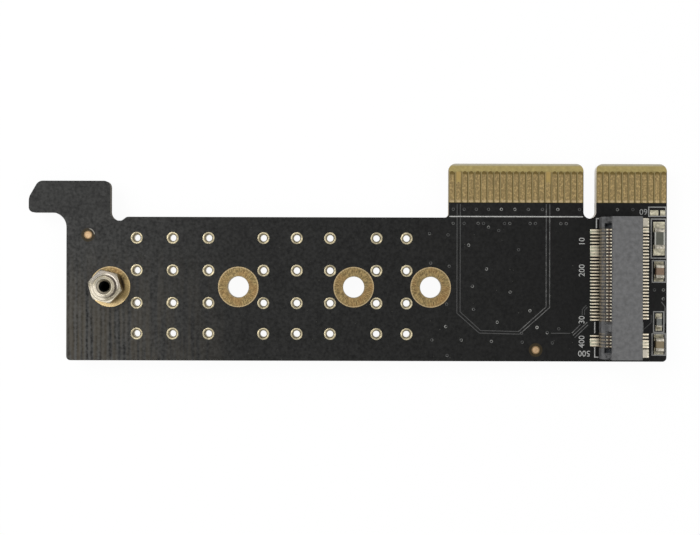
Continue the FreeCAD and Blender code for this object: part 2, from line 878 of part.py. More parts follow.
save("standoff_nut", make_nut())

solder = []
for name, y, length, width, height, terminal, reach in (
    ("link", link_y, link_length, link_width, link_height, link_terminal, link_solder_reach),
    ("upper_capacitor", upper_capacitor_y, capacitor_length, capacitor_width, capacitor_height,
     capacitor_terminal, capacitor_solder_reach),
    ("resistor", resistor_y, resistor_length, resistor_width, resistor_height,
     resistor_terminal, resistor_solder_reach),
    ("lower_capacitor", lower_capacitor_y, capacitor_length, capacitor_width, capacitor_height,
     capacitor_terminal, capacitor_solder_reach),
):
    body, caps = chip(y, length, width, height, terminal)
    save(name + "_body", body)
    save(name + "_terminals", caps)
    solder += chip_solder(y, length, width, height, terminal, reach)
save("chip_solder", solder)
save("spare_pads", make_spare_pads())
save("printed_lines", make_printed_lines())
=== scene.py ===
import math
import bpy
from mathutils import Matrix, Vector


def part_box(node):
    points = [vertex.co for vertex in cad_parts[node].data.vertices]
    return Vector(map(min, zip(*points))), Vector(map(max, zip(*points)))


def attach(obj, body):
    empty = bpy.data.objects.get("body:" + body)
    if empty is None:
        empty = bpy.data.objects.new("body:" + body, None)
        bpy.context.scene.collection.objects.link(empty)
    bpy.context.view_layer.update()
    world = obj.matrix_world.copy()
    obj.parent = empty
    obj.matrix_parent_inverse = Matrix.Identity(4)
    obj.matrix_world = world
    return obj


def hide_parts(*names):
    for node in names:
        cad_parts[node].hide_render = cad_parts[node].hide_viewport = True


bl_info = {
    "name": "Module Adapter Card",
    "version": (1, 0, 0),
    "blender": (4, 5, 0),
    "location": "View3D > Sidebar > Adapter Card",
    "description": "Gives the adapter card its copper, solder, print and finishes",
    "category": "Object",
}

import bpy
from bpy.props import FloatProperty, FloatVectorProperty, IntProperty, PointerProperty
from mathutils import Matrix, Vector

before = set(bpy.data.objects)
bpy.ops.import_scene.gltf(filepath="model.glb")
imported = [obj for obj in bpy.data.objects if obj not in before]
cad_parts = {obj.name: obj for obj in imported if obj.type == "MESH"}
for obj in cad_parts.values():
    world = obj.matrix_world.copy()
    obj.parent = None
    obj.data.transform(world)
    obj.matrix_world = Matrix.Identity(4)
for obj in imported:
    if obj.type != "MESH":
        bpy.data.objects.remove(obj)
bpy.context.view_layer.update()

MM = 0.001
CLOSE = 0.001 * MM
BODY = "root"


# Places that come from the frame, and sizes of the solids that the finishes follow
BOARD_LOW, BOARD_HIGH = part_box("circuit_board")
SOCKET_LOW, SOCKET_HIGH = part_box("socket_housing")
CONTACTS_LOW, CONTACTS_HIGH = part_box("edge_contacts_front")
MARKS_LOW, MARKS_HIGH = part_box("alignment_marks")
BOARD_TOP = BOARD_HIGH.z
UNDERSIDE = BOARD_LOW.z
KEY_FROM_RIGHT_EDGE = 12.0 * MM
KEY_X = BOARD_HIGH.x - KEY_FROM_RIGHT_EDGE
CENTRE_Y = (SOCKET_LOW.y + SOCKET_HIGH.y) / 2
SOCKET_FRONT = SOCKET_LOW.x
SOCKET_REAR = SOCKET_HIGH.x
ROOF_SETBACK = 1.23 * MM
HOOK_RIGHT = -36.0 * MM
HOOK_BASE = CENTRE_Y + 10.87 * MM
GAP_BASE = CENTRE_Y + 9.0 * MM
PIN_STEP = 0.25 * MM
LAST_PIN = 75
KEY_PINS = (59, 66)
MODULE_LENGTHS = (80, 60, 42, 30)
FIXING_HOLE_RADIUS = 1.75 * MM
WEAVE_PITCH = 0.72 * MM

MARK_RADIUS = 0.647 * MM
MARK_CENTRES = (
    (MARKS_LOW.x + MARK_RADIUS, MARKS_HIGH.y - MARK_RADIUS),
    (MARKS_HIGH.x - MARK_RADIUS, MARKS_LOW.y + MARK_RADIUS),
)

# Contact fingers, counted from the key outwards; the short ones on the long and on the short tab
FIRST_FINGER = 1.5 * MM
FINGER_PITCH = 1.0 * MM
SHORT_FINGERS = {"front": ((5, 19), ()), "back": ((), (10,))}
SHORT_BY = 1.7 * MM

# Painted highlights and painted shade of a contact inside the socket's mouth, in bands from so many
# millimetres behind its front
MOUTH_HIGHLIGHTS_AND_SHADE = (
    (0.45, (0.09, 0.08, 0.065)), (0.68, (0.17, 0.155, 0.12)), (0.9, (0.045, 0.033, 0.025)),
    (1.22, (0.23, 0.215, 0.17)), (1.5, (0.07, 0.055, 0.045)),
)

# Painted highlights and painted shade in arcs on turned metal: inner and outer radius, middle and half
# spread in degrees, shade and share
TURNED_HIGHLIGHTS_AND_SHADE = (
    (1.15, 2.15, 222, 48, (0.50, 0.455, 0.37), 0.85), (2.08, 2.4, 60, 60, (0.24, 0.21, 0.18), 0.75),
    (1.86, 2.04, 40, 45, (0.76, 0.70, 0.62), 0.8), (1.75, 2.7, 130, 32, (0.22, 0.205, 0.185), 0.75),
    (1.46, 1.66, 285, 22, (0.13, 0.12, 0.11), 0.6), (1.2, 1.4, 130, 50, (0.25, 0.24, 0.20), 0.6),
    (1.62, 1.85, 10, 70, (0.10, 0.08, 0.07), 0.8), (2.28, 2.6, 245, 60, (0.62, 0.57, 0.47), 0.7),
    (0.8, 1.08, 225, 85, (0.54, 0.49, 0.39), 0.75), (1.05, 1.2, 230, 80, (0.16, 0.14, 0.12), 0.6),
    (0.95, 1.3, 330, 50, (0.52, 0.47, 0.37), 0.6),
)

# Places read off the photograph, in millimetres from the middle of the edge key
# and from the centre line of the socket
TAB_ROW_Y = 12.2
TAB_VIAS = {
    "clear": (-13.8, -11.7, -5.0),
    "dim": (-9.6, 4.3),
    "faint": (-21.3, -19.6, -17.7, -15.8, -7.4, -1.6, 6.7),
}
PAIR_ROW_Y = 10.0
PAIR_PLACES = (-17.0, -12.9, -8.9, -4.1)
PAIR_HALF = 0.42
VIAS = {
    "clear": (
        (-14.2, 8.9), (-18.9, 6.6), (-16.1, 2.9), (-9.3, -3.6), (-14.4, -5.4), (-10.6, -7.1), (-8.2, -6.2),
        (-6.6, -7.0), (-22.4, -6.1), (11.5, -1.7),
    ),
    "dim": (
        (-15.8, 9.4), (-11.1, 5.9), (-18.3, 0.2), (-12.4, -0.7), (-18.1, -3.4), (-4.8, -6.4), (-20.0, -8.2),
        (-15.3, -8.4), (-22.1, 8.2), (-21.9, 3.3), (-24.6, -8.2), (11.5, -0.3), (-25.0, 8.4), (-22.2, -10.6),
    ),
    "faint": (
        (-21.3, PAIR_ROW_Y), (-19.6, PAIR_ROW_Y), (-10.5, -8.5), (-5.8, -8.6), (-24.8, 3.8), (-22.3, -2.6),
        (10.1, -0.3),
    ),
}
TRACES = {
    "clear": (
        ((-10.9, -7.25), (-6.25, -3.1), (-6.25, 13.0)), ((-11.1, -6.85), (-6.8, -3.0), (-6.8, 13.0)),
        ((-2.76, -7.06), (-1.42, -5.71)), ((-2.58, -7.42), (-0.35, -5.35)), ((-2.32, -7.78), (-0.26, -5.79)),
        ((11.2, -6.2), (11.75, -5.4), (11.75, -2.9), (11.2, -2.2)),
    ),
    "faint": (
        ((-20.7, 13.0), (-20.7, -4.0), (-17.2, -7.1), (-10.9, -7.25)),
        ((-20.2, 13.0), (-20.2, -3.8), (-17.0, -6.7), (-11.1, -6.85)),
        ((-6.0, -7.1), (-3.0, -7.1)), ((-1.15, -4.3), (-1.15, -3.4), (-0.5, -2.7)),
        ((-0.8, -4.2), (-0.8, -3.5), (-0.35, -3.0)), ((8.5, -6.4), (9.6, -5.4), (9.6, -4.2)),
    ),
}
SHOWN = {"clear": 0.9, "dim": 0.45, "faint": 0.17}
PRINTED_NUMBERS = (
    ("10", -1.2, 7.2, 90), ("200", -1.2, 2.7, 90), ("30", -1.2, -5.0, 90), ("400", -1.2, -8.4, 90),
    ("500", -0.85, -10.2, 180), ("60", 8.35, 11.9, 180),
)
CAMERA_PLACE = (-37.38, 3.07)


def on_card(x, y):
    """Place on the card from millimetres off the key's middle and the socket's centre line."""
    return KEY_X + x * MM, CENTRE_Y + y * MM


def middle_of(node):
    """Middle of a CAD node's box."""
    low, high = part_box(node)
    return (low + high) / 2


def pin_place(number):
    """Place of a numbered socket pin across the card."""
    return CENTRE_Y + PIN_STEP * ((LAST_PIN + 1) / 2 - number)


def pins(first):
    """Numbers of the pins of one row, without those that the key takes."""
    return [n for n in range(first, LAST_PIN + 1, 2) if not KEY_PINS[0] <= n <= KEY_PINS[1]]


# Settings that a user would change

def length_setting(name, description, millimetres):
    """Setting of a length, whose default is given in millimetres."""
    return FloatProperty(name=name, description=description, default=millimetres * MM, unit="LENGTH",
                         precision=6)


def colour_setting(name, description, default):
    """Setting of a colour."""
    return FloatVectorProperty(name=name, description=description, default=default, subtype="COLOR")


class CopperSettings(bpy.types.PropertyGroup):
    """Copper and vias that show through the coating."""

    trace_width: length_setting("Trace width", "Width of a covered trace", 0.13)
    trace_height: length_setting("Trace height", "How far a covered trace lifts the coating", 0.02)
    via_radius: length_setting("Via radius", "Radius of the ring of a covered via", 0.265)
    ring_radius: length_setting("Ring radius", "Outer radius of a small plated ring", 0.925)
    ring_bore: length_setting("Ring bore", "Radius of the hole in a small plated ring", 0.51)
    ring_steps: IntProperty(name="Ring steps", description="Flats round a small plated ring", default=40)


class SolderSettings(bpy.types.PropertyGroup):
    """Solder of the socket and of the chips."""

    front_reach: length_setting("Front reach", "Length of a pad in front of the socket", 1.45)
    rear_reach: length_setting("Rear reach", "Length of a pad behind the socket", 1.85)
    pad_width: length_setting("Pad width", "Width of one socket pad", 0.27)


class FinishSettings(bpy.types.PropertyGroup):
    """Colours of the card."""

    coating: colour_setting("Coating", "Black coating of the board", (0.0075, 0.0075, 0.0072))
    woven: colour_setting("Woven glass", "Threads that show through the coating", (0.060, 0.050, 0.034))
    laminate: colour_setting("Laminate", "Bare glass laminate", (0.32, 0.255, 0.10))
    cut_edge: colour_setting("Cut edge", "Milled edge of the board", (0.36, 0.31, 0.23))
    gold: colour_setting("Gold", "Thin gold plating", (0.225, 0.163, 0.071))
    solder: colour_setting("Solder", "Solder and tinned pads", (0.60, 0.555, 0.46))
    strip: colour_setting("Spring strip", "Plated strip of the socket's contacts", (0.57, 0.50, 0.38))
    plastic: colour_setting("Socket plastic", "Moulded socket housing", (0.095, 0.095, 0.096))
    nickel: colour_setting("Nickel", "Plating of the standoff", (0.265, 0.235, 0.175))
    print_ink: colour_setting("Print", "Printed lines and numbers", (0.40, 0.40, 0.385))


class StageSettings(bpy.types.PropertyGroup):
    """Camera, lamps and floor."""

    camera_height: FloatProperty(name="Camera height", description="Camera above the board's top",
                                 default=0.2, unit="LENGTH")
    lens: FloatProperty(name="Lens", description="Focal length in millimetres", default=65.97)
    roll: FloatProperty(name="Roll", description="Turn of the picture", default=0.0026, subtype="ANGLE")
    floor_shadow: FloatProperty(name="Floor shadow", description="Share of the shadow that the floor shows",
                                default=0.05, subtype="FACTOR")
    key_power: FloatProperty(name="Key lamp", description="Power of the key lamp in watts", default=2.2)
    fill_power: FloatProperty(name="Fill lamp", description="Power of the fill lamp in watts", default=1.2)
    sky: FloatProperty(name="Sky", description="Diffuse light from all round", default=0.4)


class CardSettings(bpy.types.PropertyGroup):
    """All settings of the card."""

    copper: PointerProperty(type=CopperSettings)
    solder: PointerProperty(type=SolderSettings)
    finish: PointerProperty(type=FinishSettings)
    stage: PointerProperty(type=StageSettings)


# Shader maths written as expressions

class Value:
    """An output of a node; sums on it add Math nodes."""

    def __init__(self, nodes, socket):
        self.nodes = nodes
        self.socket = socket

    def calc(self, operation, *others):
        """Result of a Math node on this value and others."""
        return self.nodes.maths(operation, self, *others)

    def __add__(self, other):
        return self.calc("ADD", other)

    def __sub__(self, other):
        return self.calc("SUBTRACT", other)

    def __rsub__(self, other):
        return self.nodes.maths("SUBTRACT", other, self)

    def __mul__(self, other):
        return self.calc("MULTIPLY", other)

    def __truediv__(self, other):
        return self.calc("DIVIDE", other)

    __radd__ = __add__
    __rmul__ = __mul__

    def clamped(self):
        """The same value held between 0 and 1."""
        return self.nodes.node("ShaderNodeClamp", {}, {0: self})

    def above(self, edge, blur=0.1):
        """0 below an edge and 1 above it, with a soft step."""
        return ((self - edge) / blur + 0.5).clamped()

    def below(self, edge, blur=0.1):
        """1 below an edge and 0 above it, with a soft step."""
        return 1 - self.above(edge, blur)

    def within(self, middle, spread, blur=0.12):
        """1 within so many degrees of a middle, where the value is an angle in radians."""
        off = self - math.radians(middle)
        return off.calc("COSINE").above(math.cos(math.radians(spread)), blur)


class Nodes:
    """A node tree, with short ways to add to it."""

    def __init__(self, tree):
        self.tree = tree

    def put(self, socket, value):
        """Links a value to a socket, or sets it."""
        if isinstance(value, Value):
            self.tree.links.new(value.socket, socket)
        elif socket.type == "RGBA":
            socket.default_value = (*tuple(value)[:3], 1.0)
        else:
            socket.default_value = value

    def node(self, kind, options, values, output=0):
        """Adds a node: its options first, then the values or links of its sockets."""
        added = self.tree.nodes.new(kind)
        for key, value in options.items():
            setattr(added, key, value)
        for key, value in values.items():
            self.put(added.inputs[key], value)
        return Value(self, added.outputs[output])

    def maths(self, operation, *values):
        """Math node on values and plain numbers."""
        return self.node("ShaderNodeMath", {"operation": operation}, dict(enumerate(values)))

    def outputs(self, value):
        """All outputs of the node that a value comes from."""
        return [Value(self, output) for output in value.socket.node.outputs]

    def seen(self):
        """1 for rays to the camera, in a reflection or through glass, and 0 for the rest."""
        camera = self.node("ShaderNodeLightPath", {}, {}, "Is Camera Ray")
        rays = camera.socket.node.outputs
        glossy, through = (Value(self, rays[kind]) for kind in ("Is Glossy Ray", "Is Transmission Ray"))
        return camera.calc("MAXIMUM", glossy).calc("MAXIMUM", through)


class Shader(Nodes):
    """One material; its places are in millimetres."""

    def __init__(self, name):
        self.material = bpy.data.materials.new(name)
        self.material.use_nodes = True
        super().__init__(self.material.node_tree)
        self.surface = self.tree.nodes["Principled BSDF"]
        self.place = None

    def point(self):
        """Place on the object, as a vector."""
        if self.place is None:
            where = self.node("ShaderNodeTexCoord", {}, {}, "Object")
            self.place = self.node("ShaderNodeVectorMath", {"operation": "SCALE"},
                                   {0: where, "Scale": 1 / MM})
        return self.place

    def xyz(self):
        """Place on the object along x, y and z."""
        return self.outputs(self.node("ShaderNodeSeparateXYZ", {}, {0: self.point()}))

    def facing(self):
        """Way that the surface faces, along x, y and z."""
        normal = self.node("ShaderNodeNewGeometry", {}, {}, "Normal")
        return self.outputs(self.node("ShaderNodeSeparateXYZ", {}, {0: normal}))

    def noise(self, scale, detail=3.0, stretch=(1, 1, 1), roughness=0.55):
        """Noise of so many waves a millimetre, from 0 to 1, drawn out along the axes."""
        where = self.node("ShaderNodeMapping", {}, {"Vector": self.point(), "Scale": stretch})
        return self.node("ShaderNodeTexNoise", {},
                         {"Vector": where, "Scale": scale, "Detail": detail, "Roughness": roughness})

    def spots(self, scale, size):
        """1 on small scattered spots and 0 between them."""
        near = self.node("ShaderNodeTexVoronoi", {}, {"Vector": self.point(), "Scale": scale})
        return near.below(size, size)

    def offset(self, x, y):
        """How far a place is from an upright axis, along x and y."""
        px, py, _ = self.xyz()
        return px - x / MM, py - y / MM

    def distance(self, x, y):
        """Distance from an upright axis."""
        dx, dy = self.offset(x, y)
        return (dx * dx + dy * dy).calc("POWER", 0.5)

    def angle(self, x, y):
        """Direction from an upright axis, in radians."""
        dx, dy = self.offset(x, y)
        return dy.calc("ARCTAN2", dx)

    def comb(self):
        """Wave across the card: 1 at the pins of the socket's front row and -1 at those of its rear row."""
        _, y, _ = self.xyz()
        return ((y - CENTRE_Y / MM) * (math.pi / (PIN_STEP / MM))).calc("COSINE")

    def mix(self, factor, first, second):
        """Colour between two colours."""
        return self.node("ShaderNodeMix", {"data_type": "RGBA"}, {0: factor, 6: first, 7: second}, 2)

    def tones(self, factor, colour, dark, light):
        """Colour between a darker and a lighter tone of one colour."""
        return self.mix(factor, scaled(colour, dark), scaled(colour, light))

    def layers(self, colour, *coats):
        """A colour under coats of others, each given with its cover from 0 to 1."""
        for cover, coat in coats:
            colour = self.mix(cover, colour, coat)
        return colour

    def bump(self, height, distance, strength=1.0):
        """Normal of a surface raised by a height from 0 to 1, over a distance."""
        return self.node("ShaderNodeBump", {},
                         {"Height": height, "Distance": distance * MM, "Strength": strength})

    def finish(self, colour, roughness, metallic=0.0, normal=None, specular=0.5):
        """Sets the sockets of the surface and gives back the material."""
        self.put(self.surface.inputs["Base Color"], colour)
        self.put(self.surface.inputs["Roughness"], roughness)
        self.put(self.surface.inputs["Metallic"], metallic)
        self.surface.inputs["Specular IOR Level"].default_value = specular
        if normal is not None:
            self.put(self.surface.inputs["Normal"], normal)
        return self.material


def scaled(colour, factor):
    """A colour made lighter or darker."""
    return tuple(min(1.0, channel * factor) for channel in colour)


# Finishes

def coat_colour(shader, colours, mottle):
    """Black coating, made paler and browner to the left, the lower left and the hook by a painted sheen in
    which the glass weave shows; with dust specks, bare gaps round the marks and a painted glint on one
    mark's rim.
    """
    x, y, z = shader.xyz()
    # Painted sheen: these masks make the coating paler and browner towards the left, the lower left corner
    # and the hook, and the glass weave shows in that sheen.
    hook = y.above(HOOK_BASE / MM, 0.12) * x.below(HOOK_RIGHT / MM)
    middle = x.below(15.0, 45.0)
    left = x.below(-30.0, 28.0) * (1 - hook)
    low = y.below(-4.0, 14.0)
    corner = x.below(-36.0, 14.0) * y.below(-5.0, 12.0)
    streaks = shader.noise(1.5, 2.0, (1.0, 0.06, 1.0))
    threads = shader.noise(2.6, 2.0, (1.0, 0.2, 1.0))
    fine = shader.noise(2.2)
    weave = (x * (2 * math.pi * MM / WEAVE_PITCH) + shader.noise(0.2, 2.0) * 2.0).calc("SINE")
    level = 0.055 + middle * 0.12 + left * (0.24 + low * 0.2) + hook * 0.15
    level = level * (0.2 + mottle * 0.5 + fine.above(0.5, 0.4) * 1.2)
    level = level + left * (streaks - 0.5) * 0.4 * (0.3 + low) + left * (threads - 0.5) * 0.4
    level = level + corner * (weave * 0.34 + 0.08)

    specks = shader.spots(1.1, 0.05) * shader.noise(2.0).above(0.52)
    top = z.above(BOARD_TOP / MM - 0.2)
    gaps = [shader.distance(*centre).below(1.06, 0.06) * top * 0.85 for centre in MARK_CENTRES]
    reach, angle = shader.distance(*MARK_CENTRES[0]), shader.angle(*MARK_CENTRES[0])
    glint = reach.above(0.93, 0.05) * reach.below(1.05, 0.05) * angle.within(42, 36)
    return shader.layers(
        shader.tones(level.clamped(), colours.coating, 0.0, 9.0),
        (left * low * streaks.above(0.5, 0.2) * 0.6, colours.woven),
        (specks * 0.6, (0.16, 0.155, 0.14)),
        *((gap, (0.028, 0.020, 0.008)) for gap in gaps),
        (glint * top * 0.7, (0.38, 0.36, 0.32)),
    )


def laminate_colour(shader, laminate):
    """Bare glass laminate of the contact edge, with a shadow and a glint in line with each finger."""
    x, y, _ = shader.xyz()
    from_key = x - KEY_X / MM
    across = (from_key + 0.5).calc("FRACT") - 0.5
    beside = y.below(CONTACTS_HIGH.y / MM - 0.1, 0.2)
    grain = shader.noise(2.0, 4.0)
    fibre = shader.noise(4.0, 2.0, (1.0, 0.25, 1.0))
    tint = shader.layers(
        shader.tones(grain.above(0.5, 0.5), laminate, 0.8, 1.2),
        (fibre.above(0.5, 0.3) * 0.25, scaled(laminate, 0.7)),
        ((across - 0.02).calc("ABSOLUTE").below(0.15, 0.04) * beside * 0.85, (0.060, 0.038, 0.010)),
        ((across - 0.06).calc("ABSOLUTE").below(0.035, 0.04) * beside * 0.7, (0.45, 0.37, 0.19)),
    )
    beyond_short = y.above((CONTACTS_HIGH.y - SHORT_BY) / MM, 0.9) * beside
    for number in SHORT_FINGERS["front"][0]:
        off = from_key + (FIRST_FINGER + number * FINGER_PITCH) / MM
        trail = off.calc("ABSOLUTE").below(0.36, 0.4) * beyond_short
        tint = shader.mix(trail * 0.6, tint, (0.36, 0.23, 0.075))
    return shader.mix(y.above(BOARD_HIGH.y / MM - 0.3, 0.25) * 0.75, tint, (0.40, 0.385, 0.33))


def coating_finish(colours):
    """Black coating, with bare laminate at the contact edge and milled edges; the edges carry painted shade
    towards the left and painted light on the key gap's wall that faces -x.
    """
    shader = Shader("board_coating")
    x, y, z = shader.xyz()
    sideways, _, up = shader.facing()
    mottle = shader.noise(0.35, 4.0)
    flat = (up * up).above(0.5)
    bare = y.above(CONTACTS_LOW.y / MM - 0.04, 0.05) * x.above(0.0, 1.0)
    face = shader.mix(bare, coat_colour(shader, colours, mottle), laminate_colour(shader, colours.laminate))

    # Painted light on the wall of the key gap that faces -x.
    lit_gap_wall = sideways.below(-0.4, 0.4) * x.above(KEY_X / MM, 0.5) * y.above(GAP_BASE / MM, 0.5)
    skin = z.above(BOARD_TOP / MM - 0.12, 0.05) + z.below(UNDERSIDE / MM + 0.12, 0.05)
    edge = shader.layers(
        shader.tones(shader.noise(4.0, 3.0, (1.0, 1.0, 5.0)), colours.cut_edge, 0.7, 1.3),
        # Painted shade: the milled edges grow darker towards the left.
        (x.below(-10.0, 60.0) * 0.8, scaled(colours.coating, 4.0)),
        (lit_gap_wall * 0.85, (0.72, 0.69, 0.64)),
        (skin.clamped() * (1 - bare), colours.coating),
    )

    rough = 0.4 + bare * 0.2 + (1 - flat) * 0.3 + (mottle - 0.5) * 0.1
    cloth = shader.noise(2.2, 2.0, (1.0, 0.2, 1.0)) + shader.noise(2.2, 2.0, (0.2, 1.0, 1.0))
    height = cloth * 0.5 + shader.noise(9.0, 2.0) * 0.35
    return shader.finish(shader.mix(flat, edge, face), rough, 0.0, shader.bump(height, 0.012, 0.5), 0.1)


def gold_finish(gold):
    """Thin gold on the contacts: satin and speckled, with painted shade at the outer ends and a painted
    highlight at the inner ends.
    """
    shader = Shader("contact_gold")
    _, y, _ = shader.xyz()
    patches = shader.noise(0.9, 4.0, (1.0, 0.5, 1.0))
    fine = shader.noise(3.4, 3.0, (1.0, 0.8, 1.0))
    tint = shader.layers(
        shader.tones(patches.above(0.5, 0.3), gold, 0.92, 1.1),
        (fine.above(0.53, 0.16) * 0.5, scaled(gold, 0.45)),
        (fine.below(0.42) * 0.42, scaled(gold, 2.0)),
        # Painted shade where the outer ends meet the bevel.
        (y.above(CONTACTS_HIGH.y / MM - 0.5, 0.25) * 0.9, (0.095, 0.066, 0.018)),
        # Painted highlight along the rounded inner ends.
        (y.below(CONTACTS_LOW.y / MM + 0.3, 0.25) * 0.4, (0.52, 0.41, 0.25)),
    )
    return shader.finish(tint, 0.36 + (fine - 0.5) * 0.3, 0.85, shader.bump(fine, 0.01, 0.6))


def mark_finish():
    """Bare copper of the alignment marks under a thin finish, bronze towards the rim."""
    shader = Shader("mark_copper")
    fine = shader.noise(2.4, 4.0)
    rim = 1.0
    for centre in MARK_CENTRES:
        rim = shader.distance(*centre).above(0.47, 0.12) * rim
    tint = shader.mix(fine, (0.24, 0.155, 0.08), (0.42, 0.29, 0.17))
    tint = shader.mix(rim * 0.85, tint, (0.10, 0.062, 0.025))
    return shader.finish(tint, 0.4, 0.8, shader.bump(fine, 0.02, 0.6))


def pad_finish(gold, x, y, standoff_shading=False):
    """Gold of a round pad, brushed outwards from its middle, with a painted highlight round its outer rim;
    by the standoff, painted light below it and to its right, and a painted shadow just right of it.
    """
    shader = Shader("fixing_gold")
    reach, angle = shader.distance(x, y), shader.angle(x, y)
    polar = shader.node("ShaderNodeCombineXYZ", {}, {0: angle * 11.0, 1: reach * 1.1, 2: 0.0})
    rays = shader.node("ShaderNodeTexNoise", {}, {"Vector": polar, "Scale": 1.6, "Detail": 4.0})
    fine = shader.noise(2.4, 4.0)
    rusty = shader.noise(0.45).above(0.55, 0.2)
    tint = shader.layers(
        shader.tones(rays.above(0.5, 0.16), gold, 0.46, 1.2),
        (fine.above(0.55, 0.15) * 0.5, scaled(gold, 0.4)),
        (rusty * 0.35, (0.23, 0.115, 0.040)),
        # Painted highlight round the outer rim.
        (reach.above(3.0) * 0.5, (0.46, 0.36, 0.21)),
        (reach.below(1.8, 0.12) * 0.6, (0.19, 0.15, 0.08)),
    )
    if standoff_shading:
        # Painted light below the standoff and to its right, and a painted shadow just right of it.
        lower = reach.above(2.5, 0.5) * angle.within(262, 55)
        right = reach.above(2.3, 0.3) * angle.within(350, 34)
        standoff_shadow = reach.above(1.7) * reach.below(2.3, 0.2) * angle.within(14, 36)
        tint = shader.layers(
            tint,
            (lower * 0.8, (0.58, 0.44, 0.23)),
            (right * 0.6, scaled(gold, 1.5)),
            (standoff_shadow * 0.9, (0.018, 0.011, 0.005)),
        )
    return shader.finish(tint, 0.4 + (fine - 0.5) * 0.25, 0.85, shader.bump(rays, 0.008, 0.7))


def tin_finish(name, colour, roughness=0.32, metallic=0.9, shaded_between_leads=False):
    """Solder or tin: bright, uneven and slightly grained; stripes of painted shade between the leads show
    them under joined pads.
    """
    shader = Shader(name)
    pools = shader.noise(1.5)
    grain = shader.noise(3.2)
    tint = shader.layers(
        shader.tones(pools.above(0.5, 0.3), colour, 0.55, 1.25),
        (grain.above(0.57, 0.12) * 0.45, scaled(colour, 0.35)),
        (grain.below(0.38, 0.08) * 0.6, scaled(colour, 1.35)),
    )
    if shaded_between_leads:
        x, _, _ = shader.xyz()
        rear = x.above((SOCKET_FRONT + SOCKET_REAR) / (2 * MM), 1.0) * 2 - 1
        # Painted shade in stripes between the leads.
        lead_gap_shade = (shader.comb() * rear).above(0.1, 0.9)
        film = x.below(SOCKET_FRONT / MM - 0.7, 0.5) * pools.above(0.45, 0.2)
        tint = shader.mix(lead_gap_shade * (0.45 + pools * 0.35), tint, (0.16, 0.165, 0.105))
        tint = shader.mix(film * 0.6, tint, (0.25, 0.27, 0.19))
    return shader.finish(tint, roughness + (grain - 0.5) * 0.3, metallic,
                         shader.bump(pools * 0.7 + grain * 0.3, 0.03, 0.8))


def plastic_finish(plastic):
    """Moulded housing: matt and grained on top, with metal showing in the front comb of the lip; painted
    shade on its lower parts, between the contacts on the lip's slope, in the mouth and deep in the slots.
    """
    shader = Shader("socket_plastic")
    x, y, z = shader.xyz()
    forward, _, _ = shader.facing()
    behind = x - SOCKET_FRONT / MM
    grain = shader.noise(1.5)
    clouds = shader.noise(0.5)
    dust_and_shade = shader.noise(1.6).above(0.52, 0.2)
    dashes = shader.noise(2.2, 2.0).above(0.47, 0.12)

    comb = shader.comb().above(-0.1, 0.7)
    among = y.below(pin_place(1) / MM + 0.1) * y.above(pin_place(LAST_PIN) / MM - 0.1)
    key = y.below(pin_place(KEY_PINS[0]) / MM) * y.above(pin_place(KEY_PINS[1]) / MM)
    slots = among * (1 - key)
    # Painted shade: darker lower parts, the lip's slope between the contacts, the mouth and the slots deep
    # down; one noise makes this shade patchy and lays paler dust deep down outside the slots.
    low = z.below(SOCKET_HIGH.z / MM - 1.2, 0.4)
    front = forward.below(-0.85) * behind.below(0.2) * slots
    slope = behind.below(0.55) * slots * low
    mouth = behind.above(0.72) * behind.below(ROOF_SETBACK / MM + 0.6) * slots * low
    deep = z.below(SOCKET_HIGH.z / MM - 2.3, 0.4) * behind.above(0.25)
    deep = deep * behind.below(ROOF_SETBACK / MM + 0.4)
    tint = shader.layers(
        shader.tones(grain.above(0.5, 0.35), plastic, 0.76, 1.24),
        (clouds.above(0.55, 0.3) * 0.25, scaled(plastic, 1.35)),
        (low * (0.2 + dust_and_shade * 0.45), scaled(plastic, 0.45)),
        (front * 0.85, shader.mix(comb, (0.040, 0.032, 0.022), (0.16, 0.13, 0.085))),
        (slope * (1 - comb) * (0.4 + dust_and_shade * 0.6), (0.026, 0.023, 0.019)),
        (slope * comb * dashes * 0.7, (0.20, 0.165, 0.115)),
        (mouth * 0.75, (0.045, 0.036, 0.026)),
        (deep, (0.042, 0.048, 0.056)),
        ((1 - slots) * deep * 0.8, shader.mix(dust_and_shade, (0.060, 0.066, 0.074), (0.115, 0.120, 0.125))),
    )
    return shader.finish(tint, 0.62, 0.0, shader.bump(grain, 0.04, 0.8), 0.35)


def strip_finish(name, colour, mouth=False):
    """Bent plated strip: bright with fine rolling lines; inside the socket's mouth, bands of painted
    highlight and painted shade, and dark speckles.
    """
    shader = Shader(name)
    lines = shader.noise(3.0, 2.0, (0.4, 1.0, 1.0))
    tint = shader.tones(lines, colour, 0.6, 1.25)
    if mouth:
        x, _, _ = shader.xyz()
        behind = x - SOCKET_FRONT / MM
        speckle = shader.noise(2.4).above(0.55, 0.15) * behind.above(0.3)
        # Bands of painted highlight and painted shade along the contact.
        shades = [(behind.above(start, 0.06), shade) for start, shade in MOUTH_HIGHLIGHTS_AND_SHADE]
        tint = shader.layers(tint, *shades, (speckle * 0.55, (0.09, 0.07, 0.05)))
    return shader.finish(tint, 0.3 + (lines - 0.5) * 0.2, 0.9, shader.bump(lines, 0.006, 0.5))


